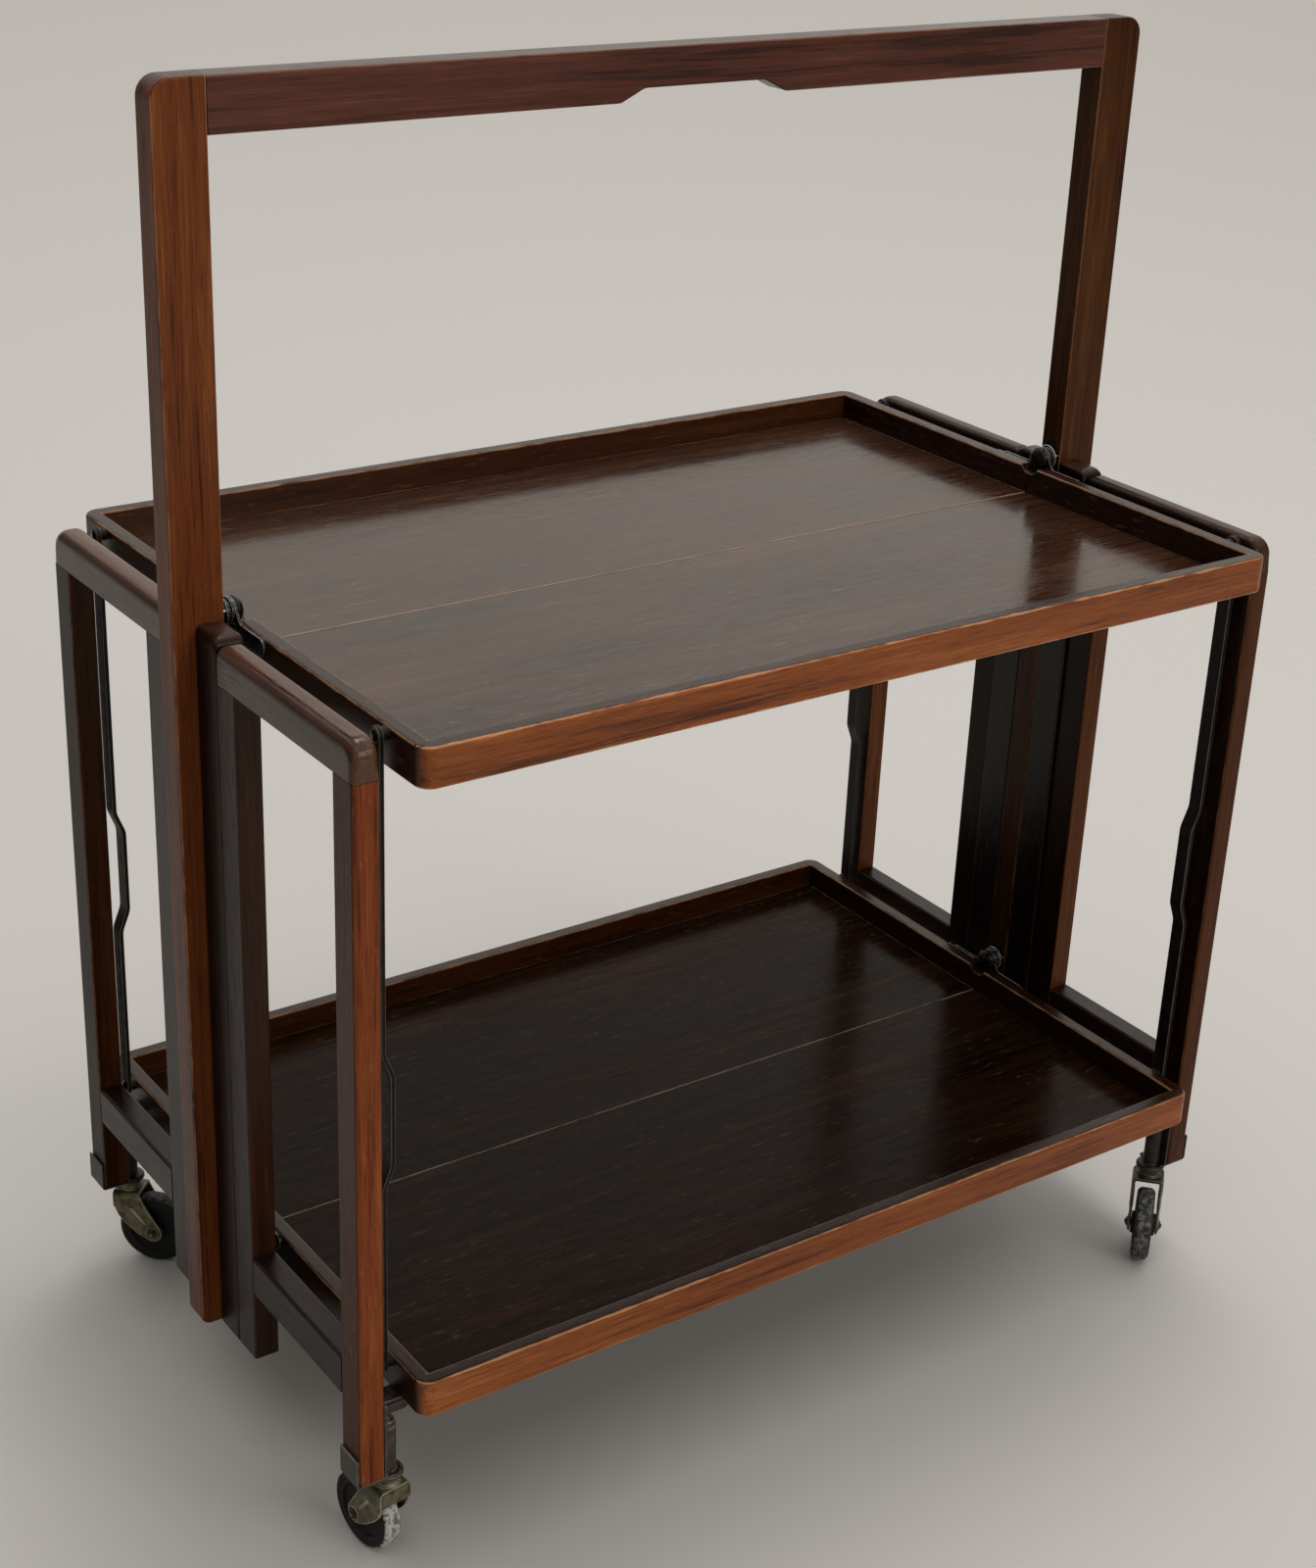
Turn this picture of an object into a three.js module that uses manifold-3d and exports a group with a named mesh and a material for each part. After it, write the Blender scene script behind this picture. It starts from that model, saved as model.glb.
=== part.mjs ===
import * as THREE from "three";
import { mergeVertices } from "three/addons/utils/BufferGeometryUtils.js";
import Module from "manifold-3d";

// Folding serving trolley in oak, shown open.
// Millimetres, +Z up, floor at Z = 0, the front of the trolley at -Y, its length along X.

// Trays, each in a front and a back half that meet at a seam on the centre line
const TRAY_LENGTH = 644;
const TRAY_WIDTH = 449;
const SEAM_HALF_GAP = 0.5;
const TRAY_CORNER = 10;
const RIM_WIDTH = 10.5;
const RIM_HEIGHT = 25;
const RIM_EDGE = 1.8;
const PANEL_DROP = 19;
const PANEL_THICK = 5;
const TOP_RIM_Z = 563.5;
const LOW_RIM_Z = 150;

// Folding pivots above the seam, and the link bars that keep the halves level
const HINGE_RISE = 5;
const PIN_R = 3;
const RING_R = 9;
const COLLAR_R = 7;
const DOME_R = 8.5;
const DOME_HIGH = 6;
const NOTCH_R = 9.8;
const STRAP_THICK = 1.5;
const STRAP_REACH = 44;
const STRAP_EYE = 8.3;
const STRAP_HIGH = 11;
const BRACKET_HALF = 8.5;
const LINK_Y = 186;
const LINK_DROP = 4.5;
const LINK_WIDTH = 11;
const LINK_THICK = 3;
const LINK_X = 326.6;
const JOGGLE = 6;
const JOGGLE_FROM = 197;
const JOGGLE_TO = 287;
const JOGGLE_RAMP = 15;

// Tall handle frame
const UPRIGHT_IN = 332;
const UPRIGHT_OUT = 365;
const UPRIGHT_DEPTH = 20;
const HANDLE_TOP = 878;
const HANDLE_RAIL = 32;
const HANDLE_CORNER = 12;
const GRIP_LOW = 62;
const GRIP_HIGH = 45;
const GRIP_DEPTH = 8;
const POST_FOOT_Z = 75;

// Hinge strips and gates
const STRIP_FROM = 10.3;
const STRIP_TO = 36.4;
const STRIP_TOP = 567;
const GATE_IN = 334.5;
const GATE_OUT = 351.5;
const INNER_STILE_FROM = 36.8;
const INNER_STILE_TO = 60.5;
const OUTER_STILE_FROM = 178.5;
const OUTER_STILE_TO = 201.5;
const OUTER_STILE_FOOT = 71;
const GATE_TOP = 564;
const GATE_RAIL_LOW = 540;
const LOW_RAIL_FROM = 126.5;
const LOW_RAIL_TO = 154;
const GAP = 0.3;

// Casters
const CASTER_X = 327.8;
const CASTER_Y = 190.7;
const SOCKET_R = 6;
const COLLAR_RIM_R = 10.6;
const BRACKET_TOP = 124.4;
const WHEEL_R = 27;
const WHEEL_WIDTH = 13;
const TRAIL = 19.3;
const FORK_HALF = 11.8;
const FORK_THICK = 2.6;
const HUB_HALF = 8.9;
const EYE_R = 7.2;
const CROWN_Z = 59.5;

const wasm = await Module();
wasm.setup();

// Finishes
const OAK = new THREE.MeshStandardMaterial({ color: 0x5c2e18, roughness: 0.42, metalness: 0 });
const TRAY_OAK = new THREE.MeshStandardMaterial({ color: 0x3c2117, roughness: 0.25, metalness: 0 });
const IRON = new THREE.MeshStandardMaterial({ color: 0x1f1d1b, roughness: 0.45, metalness: 0.9 });
const BRASS = new THREE.MeshStandardMaterial({ color: 0x6f6848, roughness: 0.4, metalness: 1 });
const RUBBER = new THREE.MeshStandardMaterial({ color: 0x17171a, roughness: 0.75, metalness: 0 });

const group = new THREE.Group();

function add(name, geometry, material) {
  const mesh = new THREE.Mesh(geometry, material);
  mesh.name = name;
  group.add(mesh);
  return mesh;
}

function solid(geometry) {
  const plain = new THREE.BufferGeometry();
  plain.setAttribute("position", geometry.getAttribute("position").clone());
  if (geometry.index) plain.setIndex(geometry.index.clone());
  const merged = mergeVertices(plain, 1e-3);
  return new wasm.Manifold(
    new wasm.Mesh({
      numProp: 3,
      vertProperties: new Float32Array(merged.attributes.position.array),
      triVerts: new Uint32Array(merged.index.array),
    }),
  );
}

function surface(manifold) {
  const mesh = manifold.getMesh();
  const geometry = new THREE.BufferGeometry();
  geometry.setAttribute("position", new THREE.BufferAttribute(mesh.vertProperties, 3));
  geometry.setIndex(new THREE.BufferAttribute(mesh.triVerts, 1));
  return geometry;
}

function join(...parts) {
  return surface(wasm.Manifold.union(parts.map(solid)));
}

function cut(body, ...tools) {
  return surface(wasm.Manifold.difference([body, ...tools].map(solid)));
}

function common(a, b) {
  return surface(solid(a).intersect(solid(b)));
}

// Turns a piece made for the right front corner to another one, faces still outward.
function toCorner(geometry, sx, sy) {
  const out = geometry.index ? geometry.toNonIndexed() : geometry.clone();
  const p = out.getAttribute("position");
  for (let i = 0; i < p.count; i++) p.setXYZ(i, p.getX(i) * sx, p.getY(i) * sy, p.getZ(i));
  if (sx * sy < 0) {
    for (let i = 0; i < p.count; i += 3) {
      const [x, y, z] = [p.getX(i + 1), p.getY(i + 1), p.getZ(i + 1)];
      p.setXYZ(i + 1, p.getX(i + 2), p.getY(i + 2), p.getZ(i + 2));
      p.setXYZ(i + 2, x, y, z);
    }
  }
  out.deleteAttribute("normal");
  out.deleteAttribute("uv");
  return out;
}

// Drops points of an outline that lie on the one before.
function distinct(points) {
  return points.filter((p, i) => p.distanceTo(points[(i || points.length) - 1]) > 0.01);
}

// A flat outline made solid along +Z from z0 to z1, its end edges eased by the amount edge.
function plank(shape, z0, z1, edge = 0, steps = 1, curve = 1.5) {
  const drawn = shape.extractPoints(curve);
  const plain = new THREE.Shape(distinct(drawn.shape));
  plain.holes = drawn.holes.map((hole) => new THREE.Path(distinct(hole)));
  const geometry = new THREE.ExtrudeGeometry(plain, {
    depth: z1 - z0 - 2 * edge,
    bevelEnabled: edge > 0,
    bevelThickness: edge,
    bevelSize: edge,
    bevelOffset: -edge,
    bevelSegments: steps,
    curveSegments: 1,
  });
  return geometry.translate(0, 0, z0 + edge);
}

// Lays an outline drawn as (x, z) so that its thickness runs along Y.
function alongY(geometry) {
  return geometry.applyMatrix4(
    new THREE.Matrix4().makeBasis(
      new THREE.Vector3(1, 0, 0),
      new THREE.Vector3(0, 0, 1),
      new THREE.Vector3(0, -1, 0),
    ),
  );
}

// Lays an outline drawn as (y, z) so that its thickness runs along X.
function alongX(geometry) {
  return geometry.applyMatrix4(
    new THREE.Matrix4().makeBasis(
      new THREE.Vector3(0, 1, 0),
      new THREE.Vector3(0, 0, 1),
      new THREE.Vector3(1, 0, 0),
    ),
  );
}

// A four-cornered outline with its own radius at each corner, anticlockwise from low left.
function board(x0, y0, x1, y1, r0 = 0, r1 = r0, r2 = r0, r3 = r0) {
  const s = new THREE.Shape();
  s.moveTo(x0 + r0, y0);
  s.lineTo(x1 - r1, y0);
  if (r1) s.absarc(x1 - r1, y0 + r1, r1, -Math.PI / 2, 0, false);
  s.lineTo(x1, y1 - r2);
  if (r2) s.absarc(x1 - r2, y1 - r2, r2, 0, Math.PI / 2, false);
  s.lineTo(x0 + r3, y1);
  if (r3) s.absarc(x0 + r3, y1 - r3, r3, Math.PI / 2, Math.PI, false);
  s.lineTo(x0, y0 + r0);
  if (r0) s.absarc(x0 + r0, y0 + r0, r0, Math.PI, 1.5 * Math.PI, false);
  return s;
}

// A round bar along X from x0 to x1.
function barX(r, x0, x1, y, z, sides = 16) {
  const bar = new THREE.CylinderGeometry(r, r, x1 - x0, sides);
  return bar.rotateZ(-Math.PI / 2).translate((x0 + x1) / 2, y, z);
}

const CORNERS = [
  ["fl", -1, 1],
  ["fr", 1, 1],
  ["bl", -1, -1],
  ["br", 1, -1],
];

// Uprights of the handle frame
function upright() {
  const outline = board(UPRIGHT_IN, POST_FOOT_Z, UPRIGHT_OUT, HANDLE_TOP, 3, 7, HANDLE_CORNER, 3);
  return alongY(plank(outline, -UPRIGHT_DEPTH / 2, UPRIGHT_DEPTH / 2, 2, 2, 2));
}
add("upright_left", toCorner(upright(), -1, 1), OAK);
add("upright_right", toCorner(upright(), 1, 1), OAK);

// Top rail, hollowed on the underside for the hand
function handleRail() {
  const x = UPRIGHT_IN - GAP;
  const low = HANDLE_TOP - HANDLE_RAIL;
  const s = new THREE.Shape();
  s.moveTo(-x, low);
  s.lineTo(-GRIP_LOW, low);
  s.quadraticCurveTo(-GRIP_LOW + 5, low, -GRIP_LOW + 8, low + 3.5);
  s.quadraticCurveTo(-GRIP_HIGH - 4, low + GRIP_DEPTH, -GRIP_HIGH + 4, low + GRIP_DEPTH);
  s.lineTo(GRIP_HIGH - 4, low + GRIP_DEPTH);
  s.quadraticCurveTo(GRIP_HIGH + 4, low + GRIP_DEPTH, GRIP_LOW - 8, low + 3.5);
  s.quadraticCurveTo(GRIP_LOW - 5, low, GRIP_LOW, low);
  s.lineTo(x, low);
  s.lineTo(x, HANDLE_TOP);
  s.lineTo(-x, HANDLE_TOP);
  s.closePath();
  return alongY(plank(s, -UPRIGHT_DEPTH / 2, UPRIGHT_DEPTH / 2, 2, 2, 4));
}
add("handle_rail", handleRail(), OAK);

// Hinge strips, fixed in front of and behind each upright
function hingeStrip() {
  const across = board(UPRIGHT_IN, POST_FOOT_Z, GATE_OUT, STRIP_TOP, 1, 2, 7, 3);
  const side = board(-STRIP_TO, POST_FOOT_Z, -STRIP_FROM, STRIP_TOP, 2, 2, 3, 6);
  return common(
    alongY(plank(across, STRIP_FROM, STRIP_TO, 0, 1, 1.5)),
    alongX(plank(side, UPRIGHT_IN, GATE_OUT, 1.2, 1, 1.5)),
  );
}

// Gate rails and stiles, drawn for the right front gate
function gateTopRail() {
  const across = board(GATE_IN, GATE_RAIL_LOW, GATE_OUT, GATE_TOP, 2, 2, 6, 3);
  const side = board(-OUTER_STILE_TO, GATE_RAIL_LOW, -INNER_STILE_FROM, GATE_TOP, 0.8, 0.8, 5, 12);
  return common(
    alongY(plank(across, INNER_STILE_FROM, OUTER_STILE_TO, 1.5, 1, 1.5)),
    alongX(plank(side, GATE_IN, GATE_OUT, 0, 1, 2)),
  );
}

function stile(y0, y1, z0, z1, r) {
  return plank(board(GATE_IN, -y1, GATE_OUT, -y0, r), z0, z1, 0.8, 1, 1);
}

function gateLowRail() {
  const across = board(GATE_IN, LOW_RAIL_FROM, GATE_OUT, LOW_RAIL_TO, 1.6, 1.6, 2.4, 2.4);
  return alongY(plank(across, INNER_STILE_TO + GAP, OUTER_STILE_FROM - GAP, 0, 1, 1));
}

for (const [tag, sx, sy] of CORNERS) {
  add("hinge_strip_" + tag, toCorner(hingeStrip(), sx, sy), OAK);
  add("gate_" + tag + "_top_rail", toCorner(gateTopRail(), sx, sy), OAK);
  add("gate_" + tag + "_low_rail", toCorner(gateLowRail(), sx, sy), OAK);
  add(
    "gate_" + tag + "_inner_stile",
    toCorner(stile(INNER_STILE_FROM, INNER_STILE_TO, POST_FOOT_Z, GATE_RAIL_LOW - GAP, 2), sx, sy),
    OAK,
  );
  add(
    "gate_" + tag + "_outer_stile",
    toCorner(stile(OUTER_STILE_FROM, OUTER_STILE_TO, OUTER_STILE_FOOT, GATE_RAIL_LOW - GAP, 2.2), sx, sy),
    OAK,
  );
}

// Tray rims: one front rail and two end rails, open at the seam
function trayRim(rimZ) {
  const x = TRAY_LENGTH / 2;
  const y = TRAY_WIDTH / 2;
  const w = RIM_WIDTH;
  const r = TRAY_CORNER;
  const q = 3;
  const s = new THREE.Shape();
  s.moveTo(-x + r, -y);
  s.lineTo(x - r, -y);
  s.absarc(x - r, -y + r, r, -Math.PI / 2, 0, false);
  s.lineTo(x, -SEAM_HALF_GAP);
  s.lineTo(x - w, -SEAM_HALF_GAP);
  s.lineTo(x - w, -y + w + q);
  s.absarc(x - w - q, -y + w + q, q, 0, -Math.PI / 2, true);
  s.lineTo(-x + w + q, -y + w);
  s.absarc(-x + w + q, -y + w + q, q, -Math.PI / 2, -Math.PI, true);
  s.lineTo(-x + w, -SEAM_HALF_GAP);
  s.lineTo(-x, -SEAM_HALF_GAP);
  s.lineTo(-x, -y + r);
  s.absarc(-x + r, -y + r, r, Math.PI, 1.5 * Math.PI, false);
  const rim = plank(s, rimZ - RIM_HEIGHT, rimZ, RIM_EDGE, 2, 2);
  return cut(rim, barX(NOTCH_R, -x - 5, x + 5, 0, rimZ + HINGE_RISE, 24));
}

function trayPanel(rimZ) {
  const x = TRAY_LENGTH / 2 - RIM_WIDTH - GAP;
  const y = TRAY_WIDTH / 2 - RIM_WIDTH - GAP;
  const s = board(-x, -y, x, -SEAM_HALF_GAP, 2.8, 2.8, 0, 0);
  const top = rimZ - PANEL_DROP;
  return plank(s, top - PANEL_THICK, top, 0, 1, 1);
}

const LEVELS = [
  ["top", TOP_RIM_Z],
  ["low", LOW_RIM_Z],
];
for (const [level, z] of LEVELS) {
  for (const [half, sy] of [
    ["front", 1],
    ["back", -1],
  ]) {
    add(level + "_" + half + "_rim", toCorner(trayRim(z), 1, sy), TRAY_OAK);
    add(level + "_" + half + "_panel", toCorner(trayPanel(z), 1, sy), TRAY_OAK);
  }
}

// Iron straps that carry the tray halves on the centre pivots
function strap(rimZ, layer) {
  const z = rimZ + HINGE_RISE;
  const s = new THREE.Shape();
  const arc = (cx, cy, r, a0, a1, n) => {
    for (let i = 0; i <= n; i++) {
      const a = a0 + ((a1 - a0) * i) / n;
      s.lineTo(cx + r * Math.cos(a), cy + r * Math.sin(a));
    }
  };
  const eye = STRAP_EYE;
  const high = -HINGE_RISE - 0.4;
  const low = high - STRAP_HIGH;
  s.moveTo(eye * Math.cos(-0.9), eye * Math.sin(-0.9));
  arc(0, 0, eye, -0.9, 2.7, 8);
  s.lineTo(-13, high);
  arc(-STRAP_REACH, (low + high) / 2, (high - low) / 2, Math.PI / 2, 1.5 * Math.PI, 4);
  s.lineTo(-9, low);
  s.closePath();
  const hole = new THREE.Path();
  hole.absarc(0, 0, PIN_R + GAP, 0, 2 * Math.PI, true);
  s.holes.push(hole);
  const x0 = TRAY_LENGTH / 2 + GAP + layer * (STRAP_THICK + GAP);
  const plate = alongX(plank(s, x0, x0 + STRAP_THICK, 0, 1, 5)).translate(0, 0, z);
  if (!layer) return plate;
  const packing = board(-STRAP_REACH - 3, low + 0.5, -15, high - 0.5, 2, 0, 0, 2);
  const parts = [plate, alongX(plank(packing, TRAY_LENGTH / 2 + GAP, x0 + 0.5)).translate(0, 0, z)];
  for (const y of [-22, -40]) {
    parts.push(barX(3, x0 + STRAP_THICK / 2, x0 + STRAP_THICK + 0.7, y, z + (low + high) / 2, 8));
  }
  return join(...parts);
}
for (const [level, z] of LEVELS) {
  for (const [side, sx] of [
    ["left", -1],
    ["right", 1],
  ]) {
    add("strap_" + level + "_front_" + side, toCorner(strap(z, 0), sx, 1), IRON);
    add("strap_" + level + "_back_" + side, toCorner(strap(z, 1), sx, -1), IRON);
  }
}

// Centre pivot on each upright: pointed plate, collar, pin and domed head
function pivot(rimZ) {
  const z = rimZ + HINGE_RISE;
  const face = UPRIGHT_IN - GAP;
  const b = BRACKET_HALF;
  const plate = new THREE.Shape();
  plate.moveTo(-b, -20);
  plate.lineTo(-b + 3, -23);
  plate.lineTo(b - 3, -23);
  plate.lineTo(b, -20);
  plate.lineTo(b, 3);
  plate.lineTo(1.5, 13);
  plate.lineTo(-1.5, 13);
  plate.lineTo(-b, 3);
  plate.closePath();
  const back = alongX(plank(plate, face - 1.7, face, 0, 1, 3)).translate(0, 0, z);
  const end = TRAY_LENGTH / 2;
  const profile = [new THREE.Vector2(0, face - 1)];
  for (const [r, x] of [
    [RING_R, face - 1],
    [RING_R, face - 3.2],
    [COLLAR_R, face - 3.2],
    [COLLAR_R, end + 4.2],
    [PIN_R, end + 4.2],
    [PIN_R, end - 0.2],
    [DOME_R, end - 0.2],
  ])
    profile.push(new THREE.Vector2(r, x));
  for (let i = 1; i < 4; i++) {
    const a = (i * Math.PI) / 8;
    profile.push(new THREE.Vector2(DOME_R * Math.cos(a), end - 0.2 - DOME_HIGH * Math.sin(a)));
  }
  profile.push(new THREE.Vector2(0, end - 0.2 - DOME_HIGH));
  profile.reverse();
  const stud = new THREE.LatheGeometry(profile, 16);
  stud.rotateZ(-Math.PI / 2).translate(0, 0, z);
  const screw = barX(3, face - 2.4, face - 1, 0, z - 17.5, 8);
  return join(back, stud, screw);
}
for (const [level, z] of LEVELS) {
  add("pivot_" + level + "_left", toCorner(pivot(z), -1, 1), IRON);
  add("pivot_" + level + "_right", toCorner(pivot(z), 1, 1), IRON);
}

// Flat iron link bars, joggled inward between the trays, with a rivet at each end
function linkBar() {
  const z1 = TOP_RIM_Z - LINK_DROP;
  const z0 = LOW_RIM_Z - LINK_DROP;
  const half = LINK_WIDTH / 2;
  const [a, b] = [LINK_X, LINK_X + LINK_THICK];
  const path = [
    [z1 + half, 0],
    [z1 - JOGGLE_FROM, 0],
    [z1 - JOGGLE_FROM - JOGGLE_RAMP, JOGGLE],
    [z1 - JOGGLE_TO + JOGGLE_RAMP, JOGGLE],
    [z1 - JOGGLE_TO, 0],
    [z0 - half, 0],
  ];
  const s = new THREE.Shape();
  path.forEach(([z, shift], i) => (i ? s.lineTo(b - shift, z) : s.moveTo(b - shift, z)));
  [...path].reverse().forEach(([z, shift]) => s.lineTo(a - shift, z));
  s.closePath();
  const side = alongY(plank(s, LINK_Y - half, LINK_Y + half, 0, 1, 1));
  const face = board(-LINK_Y - half, z0 - half, -LINK_Y + half, z1 + half, half - 0.01);
  const bar = common(side, alongX(plank(face, LINK_X - 10, LINK_X + 10, 0, 1, 2)));
  const rivets = [];
  for (const z of [z0, z1]) {
    rivets.push(barX(4, TRAY_LENGTH / 2 + GAP, LINK_X + 1, -LINK_Y, z, 10));
    rivets.push(barX(4.4, b - 1, b + 1.6, -LINK_Y, z, 10));
  }
  return join(bar, ...rivets);
}
for (const [tag, sx, sy] of CORNERS) add("link_bar_" + tag, toCorner(linkBar(), sx, sy), IRON);

// Caster sockets: a plate bent round the stile's foot, a domed tube with its collar, and an angle lug
function socket() {
  const y = -CASTER_Y;
  const [y0, y1] = [-OUTER_STILE_TO + 0.7, -OUTER_STILE_FROM - 0.3];
  const top = OUTER_STILE_FOOT - GAP;
  const turned = new THREE.LatheGeometry(
    [
      [0, 66],
      [COLLAR_RIM_R - 0.6, 66],
      [COLLAR_RIM_R, 66.8],
      [COLLAR_RIM_R, 68.6],
      [COLLAR_RIM_R - 1.4, 69.5],
      [SOCKET_R, 70.2],
      [SOCKET_R, 103],
      [SOCKET_R - 1, 106.6],
      [SOCKET_R - 3.2, 109.2],
      [0, 110],
    ].map(([r, z]) => new THREE.Vector2(r, z)),
    16,
  );
  turned.rotateX(Math.PI / 2).translate(CASTER_X, y, 0);
  const inside = GATE_IN - GAP;
  const foot = plank(board(CASTER_X, y0, GATE_OUT + 2, y1, 1), top - 1.6, top);
  const outer = plank(board(GATE_OUT + GAP, y0, GATE_OUT + 2, y1, 0.6), top - 1.6, 90, 0.4, 1);
  const inner = plank(board(inside - 1.9, y0, inside, y1, 0.6), top - 1.6, BRACKET_TOP);
  const lug = plank(board(314, y - 6, inside - 1, y + 8, 2, 0, 0, 2), BRACKET_TOP - 3.4, BRACKET_TOP);
  const lip = plank(board(316, y - 6, inside - 1, y - 4.2), BRACKET_TOP - 10, BRACKET_TOP - 1);
  return join(turned, foot, outer, inner, lug, lip);
}

// Swivel fork with its axle, drawn with the swivel at the origin and the wheel trailing along +X
function fork() {
  const arch = new THREE.Shape();
  const w = FORK_HALF;
  const t = FORK_THICK;
  arch.moveTo(-w, 10);
  arch.lineTo(-w + t, 10);
  arch.lineTo(-w + t, CROWN_Z - t - 2);
  arch.lineTo(-w + t + 2, CROWN_Z - t);
  arch.lineTo(w - t - 2, CROWN_Z - t);
  arch.lineTo(w - t, CROWN_Z - t - 2);
  arch.lineTo(w - t, 10);
  arch.lineTo(w, 10);
  arch.lineTo(w, CROWN_Z - 3.5);
  arch.absarc(w - 3.5, CROWN_Z - 3.5, 3.5, 0, Math.PI / 2, false);
  arch.absarc(-w + 3.5, CROWN_Z - 3.5, 3.5, Math.PI / 2, Math.PI, false);
  arch.closePath();
  const strip = alongX(plank(arch, -12, 40, 0, 1, 1.5));
  const side = new THREE.Shape();
  side.moveTo(-9.5, CROWN_Z);
  side.lineTo(-9.5, 48);
  side.lineTo(-8.8, 44);
  side.lineTo(-6.2, 39);
  side.lineTo(-0.6, 32.2);
  side.lineTo(8.8, 24.4);
  for (let i = 0; i <= 5; i++) {
    const a = -1.9 + (i * 2.4) / 5;
    side.lineTo(TRAIL + EYE_R * Math.cos(a), WHEEL_R + EYE_R * Math.sin(a));
  }
  side.lineTo(15, 48);
  side.lineTo(10.5, CROWN_Z);
  side.closePath();
  const legs = common(strip, alongY(plank(side, -15, 15, 0, 1, 3)));
  const web = plank(board(-9.5, -w + 1, -7.9, w - 1, 0.4), 47, CROWN_Z - 1);
  const head = new THREE.LatheGeometry(
    [
      [0, CROWN_Z - 1],
      [9, CROWN_Z - 1],
      [8, CROWN_Z + 4],
      [8, 65.7],
      [0, 65.7],
    ].map(([r, z]) => new THREE.Vector2(r, z)),
    14,
  ).rotateX(Math.PI / 2);
  const axle = new THREE.CylinderGeometry(2.6, 2.6, 2 * w + 4.4, 10).translate(TRAIL, 0, WHEEL_R);
  const nut = new THREE.CylinderGeometry(3.8, 3.8, 2, 6);
  const near = nut.clone().translate(TRAIL, w + 0.8, WHEEL_R);
  const far = nut.clone().translate(TRAIL, -w - 0.8, WHEEL_R);
  return join(legs, web, head, axle, near, far);
}

// Rubber-tyred wheel on a plain bore
function wheel() {
  const h = WHEEL_WIDTH / 2;
  const profile = [
    [3, -HUB_HALF],
    [8.4, -HUB_HALF],
    [8.4, -4.8],
    [17.6, -4.8],
    [18, -h],
    [25, -h],
    [WHEEL_R, -h + 2.6],
    [WHEEL_R, h - 2.6],
    [25, h],
    [18, h],
    [17.6, 4.8],
    [8.4, 4.8],
    [8.4, HUB_HALF],
    [3, HUB_HALF],
    [3, -HUB_HALF],
  ].map(([r, y]) => new THREE.Vector2(r, y));
  return new THREE.LatheGeometry(profile, 20).translate(TRAIL, 0, WHEEL_R);
}

const CASTER_TURN = { fl: 98, fr: -137, bl: -45, br: -120 };
for (const [tag, sx, sy] of CORNERS) {
  add("caster_socket_" + tag, toCorner(socket(), sx, sy), IRON);
  const turn = THREE.MathUtils.degToRad(CASTER_TURN[tag]);
  const place = (g) => g.rotateZ(turn).translate(sx * CASTER_X, -sy * CASTER_Y, 0);
  add("caster_fork_" + tag, place(fork()), BRASS);
  add("caster_wheel_" + tag, place(wheel()), RUBBER);
}

export default group;
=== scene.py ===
import math

import bmesh
import bpy
import numpy as np
from mathutils import Matrix, Vector


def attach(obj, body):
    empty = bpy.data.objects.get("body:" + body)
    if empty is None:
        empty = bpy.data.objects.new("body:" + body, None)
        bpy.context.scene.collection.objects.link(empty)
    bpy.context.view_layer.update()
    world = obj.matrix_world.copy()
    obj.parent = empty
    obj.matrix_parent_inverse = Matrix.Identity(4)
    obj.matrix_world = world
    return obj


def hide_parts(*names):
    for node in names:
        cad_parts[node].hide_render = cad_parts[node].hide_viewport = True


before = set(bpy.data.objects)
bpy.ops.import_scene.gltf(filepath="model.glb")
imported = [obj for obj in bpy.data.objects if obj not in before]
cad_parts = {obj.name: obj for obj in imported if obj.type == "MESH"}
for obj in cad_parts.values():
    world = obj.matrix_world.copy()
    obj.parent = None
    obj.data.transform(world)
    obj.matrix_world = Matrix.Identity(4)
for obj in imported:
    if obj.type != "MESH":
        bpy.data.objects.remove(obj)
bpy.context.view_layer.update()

# Room: a plain pale floor under a soft overcast light, which is brightest
# behind the trolley and weakest in front of it.
FLOOR_HALF = 30
scene = bpy.context.scene
scene.view_settings.view_transform = "Standard"
world = bpy.data.worlds.new("room")
scene.world = world
world.use_nodes = True
background = world.node_tree.nodes["Background"].inputs
background["Color"].default_value = (0.80, 0.77, 0.73, 1)
background["Strength"].default_value = 0.22

floor_mesh = bpy.data.meshes.new("floor")
floor_corners = [(x * FLOOR_HALF, y * FLOOR_HALF, 0) for x, y in ((-1, -1), (1, -1), (1, 1), (-1, 1))]
floor_mesh.from_pydata(floor_corners, [], [(0, 1, 2, 3)])
floor = bpy.data.objects.new("floor", floor_mesh)
scene.collection.objects.link(floor)
floor_paint = bpy.data.materials.new("pale_floor")
floor_paint.use_nodes = True
paint = floor_paint.node_tree.nodes["Principled BSDF"]
paint.inputs["Base Color"].default_value = (0.58, 0.555, 0.52, 1)
paint.inputs["Roughness"].default_value = 0.85
floor_mesh.materials.append(floor_paint)


def softbox(name, place, target, width, height, power, tint=(1, 1, 1)):
    data = bpy.data.lights.new(name, "AREA")
    data.shape = "RECTANGLE"
    data.size = width
    data.size_y = height
    data.energy = power
    data.color = tint
    light = bpy.data.objects.new(name, data)
    light.location = place
    light.rotation_euler = (Vector(target) - Vector(place)).to_track_quat("-Z", "Y").to_euler()
    light.visible_camera = False
    scene.collection.objects.link(light)


softbox("sky", (2.5, 2, 6), (2.5, 2, 0), 14, 14, 500)
softbox("overhead", (0.8, 0.6, 5), (0, 0, 0), 1.6, 1.6, 60)
softbox("behind", (4.5, 8.6, 4), (0, 0, 3), 18, 8, 270, (1, 0.94, 0.87))
softbox("front", (0.6, -3.2, 1.9), (0, 0, 0.4), 2.0, 1.4, 30, (1, 0.96, 0.91))

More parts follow.
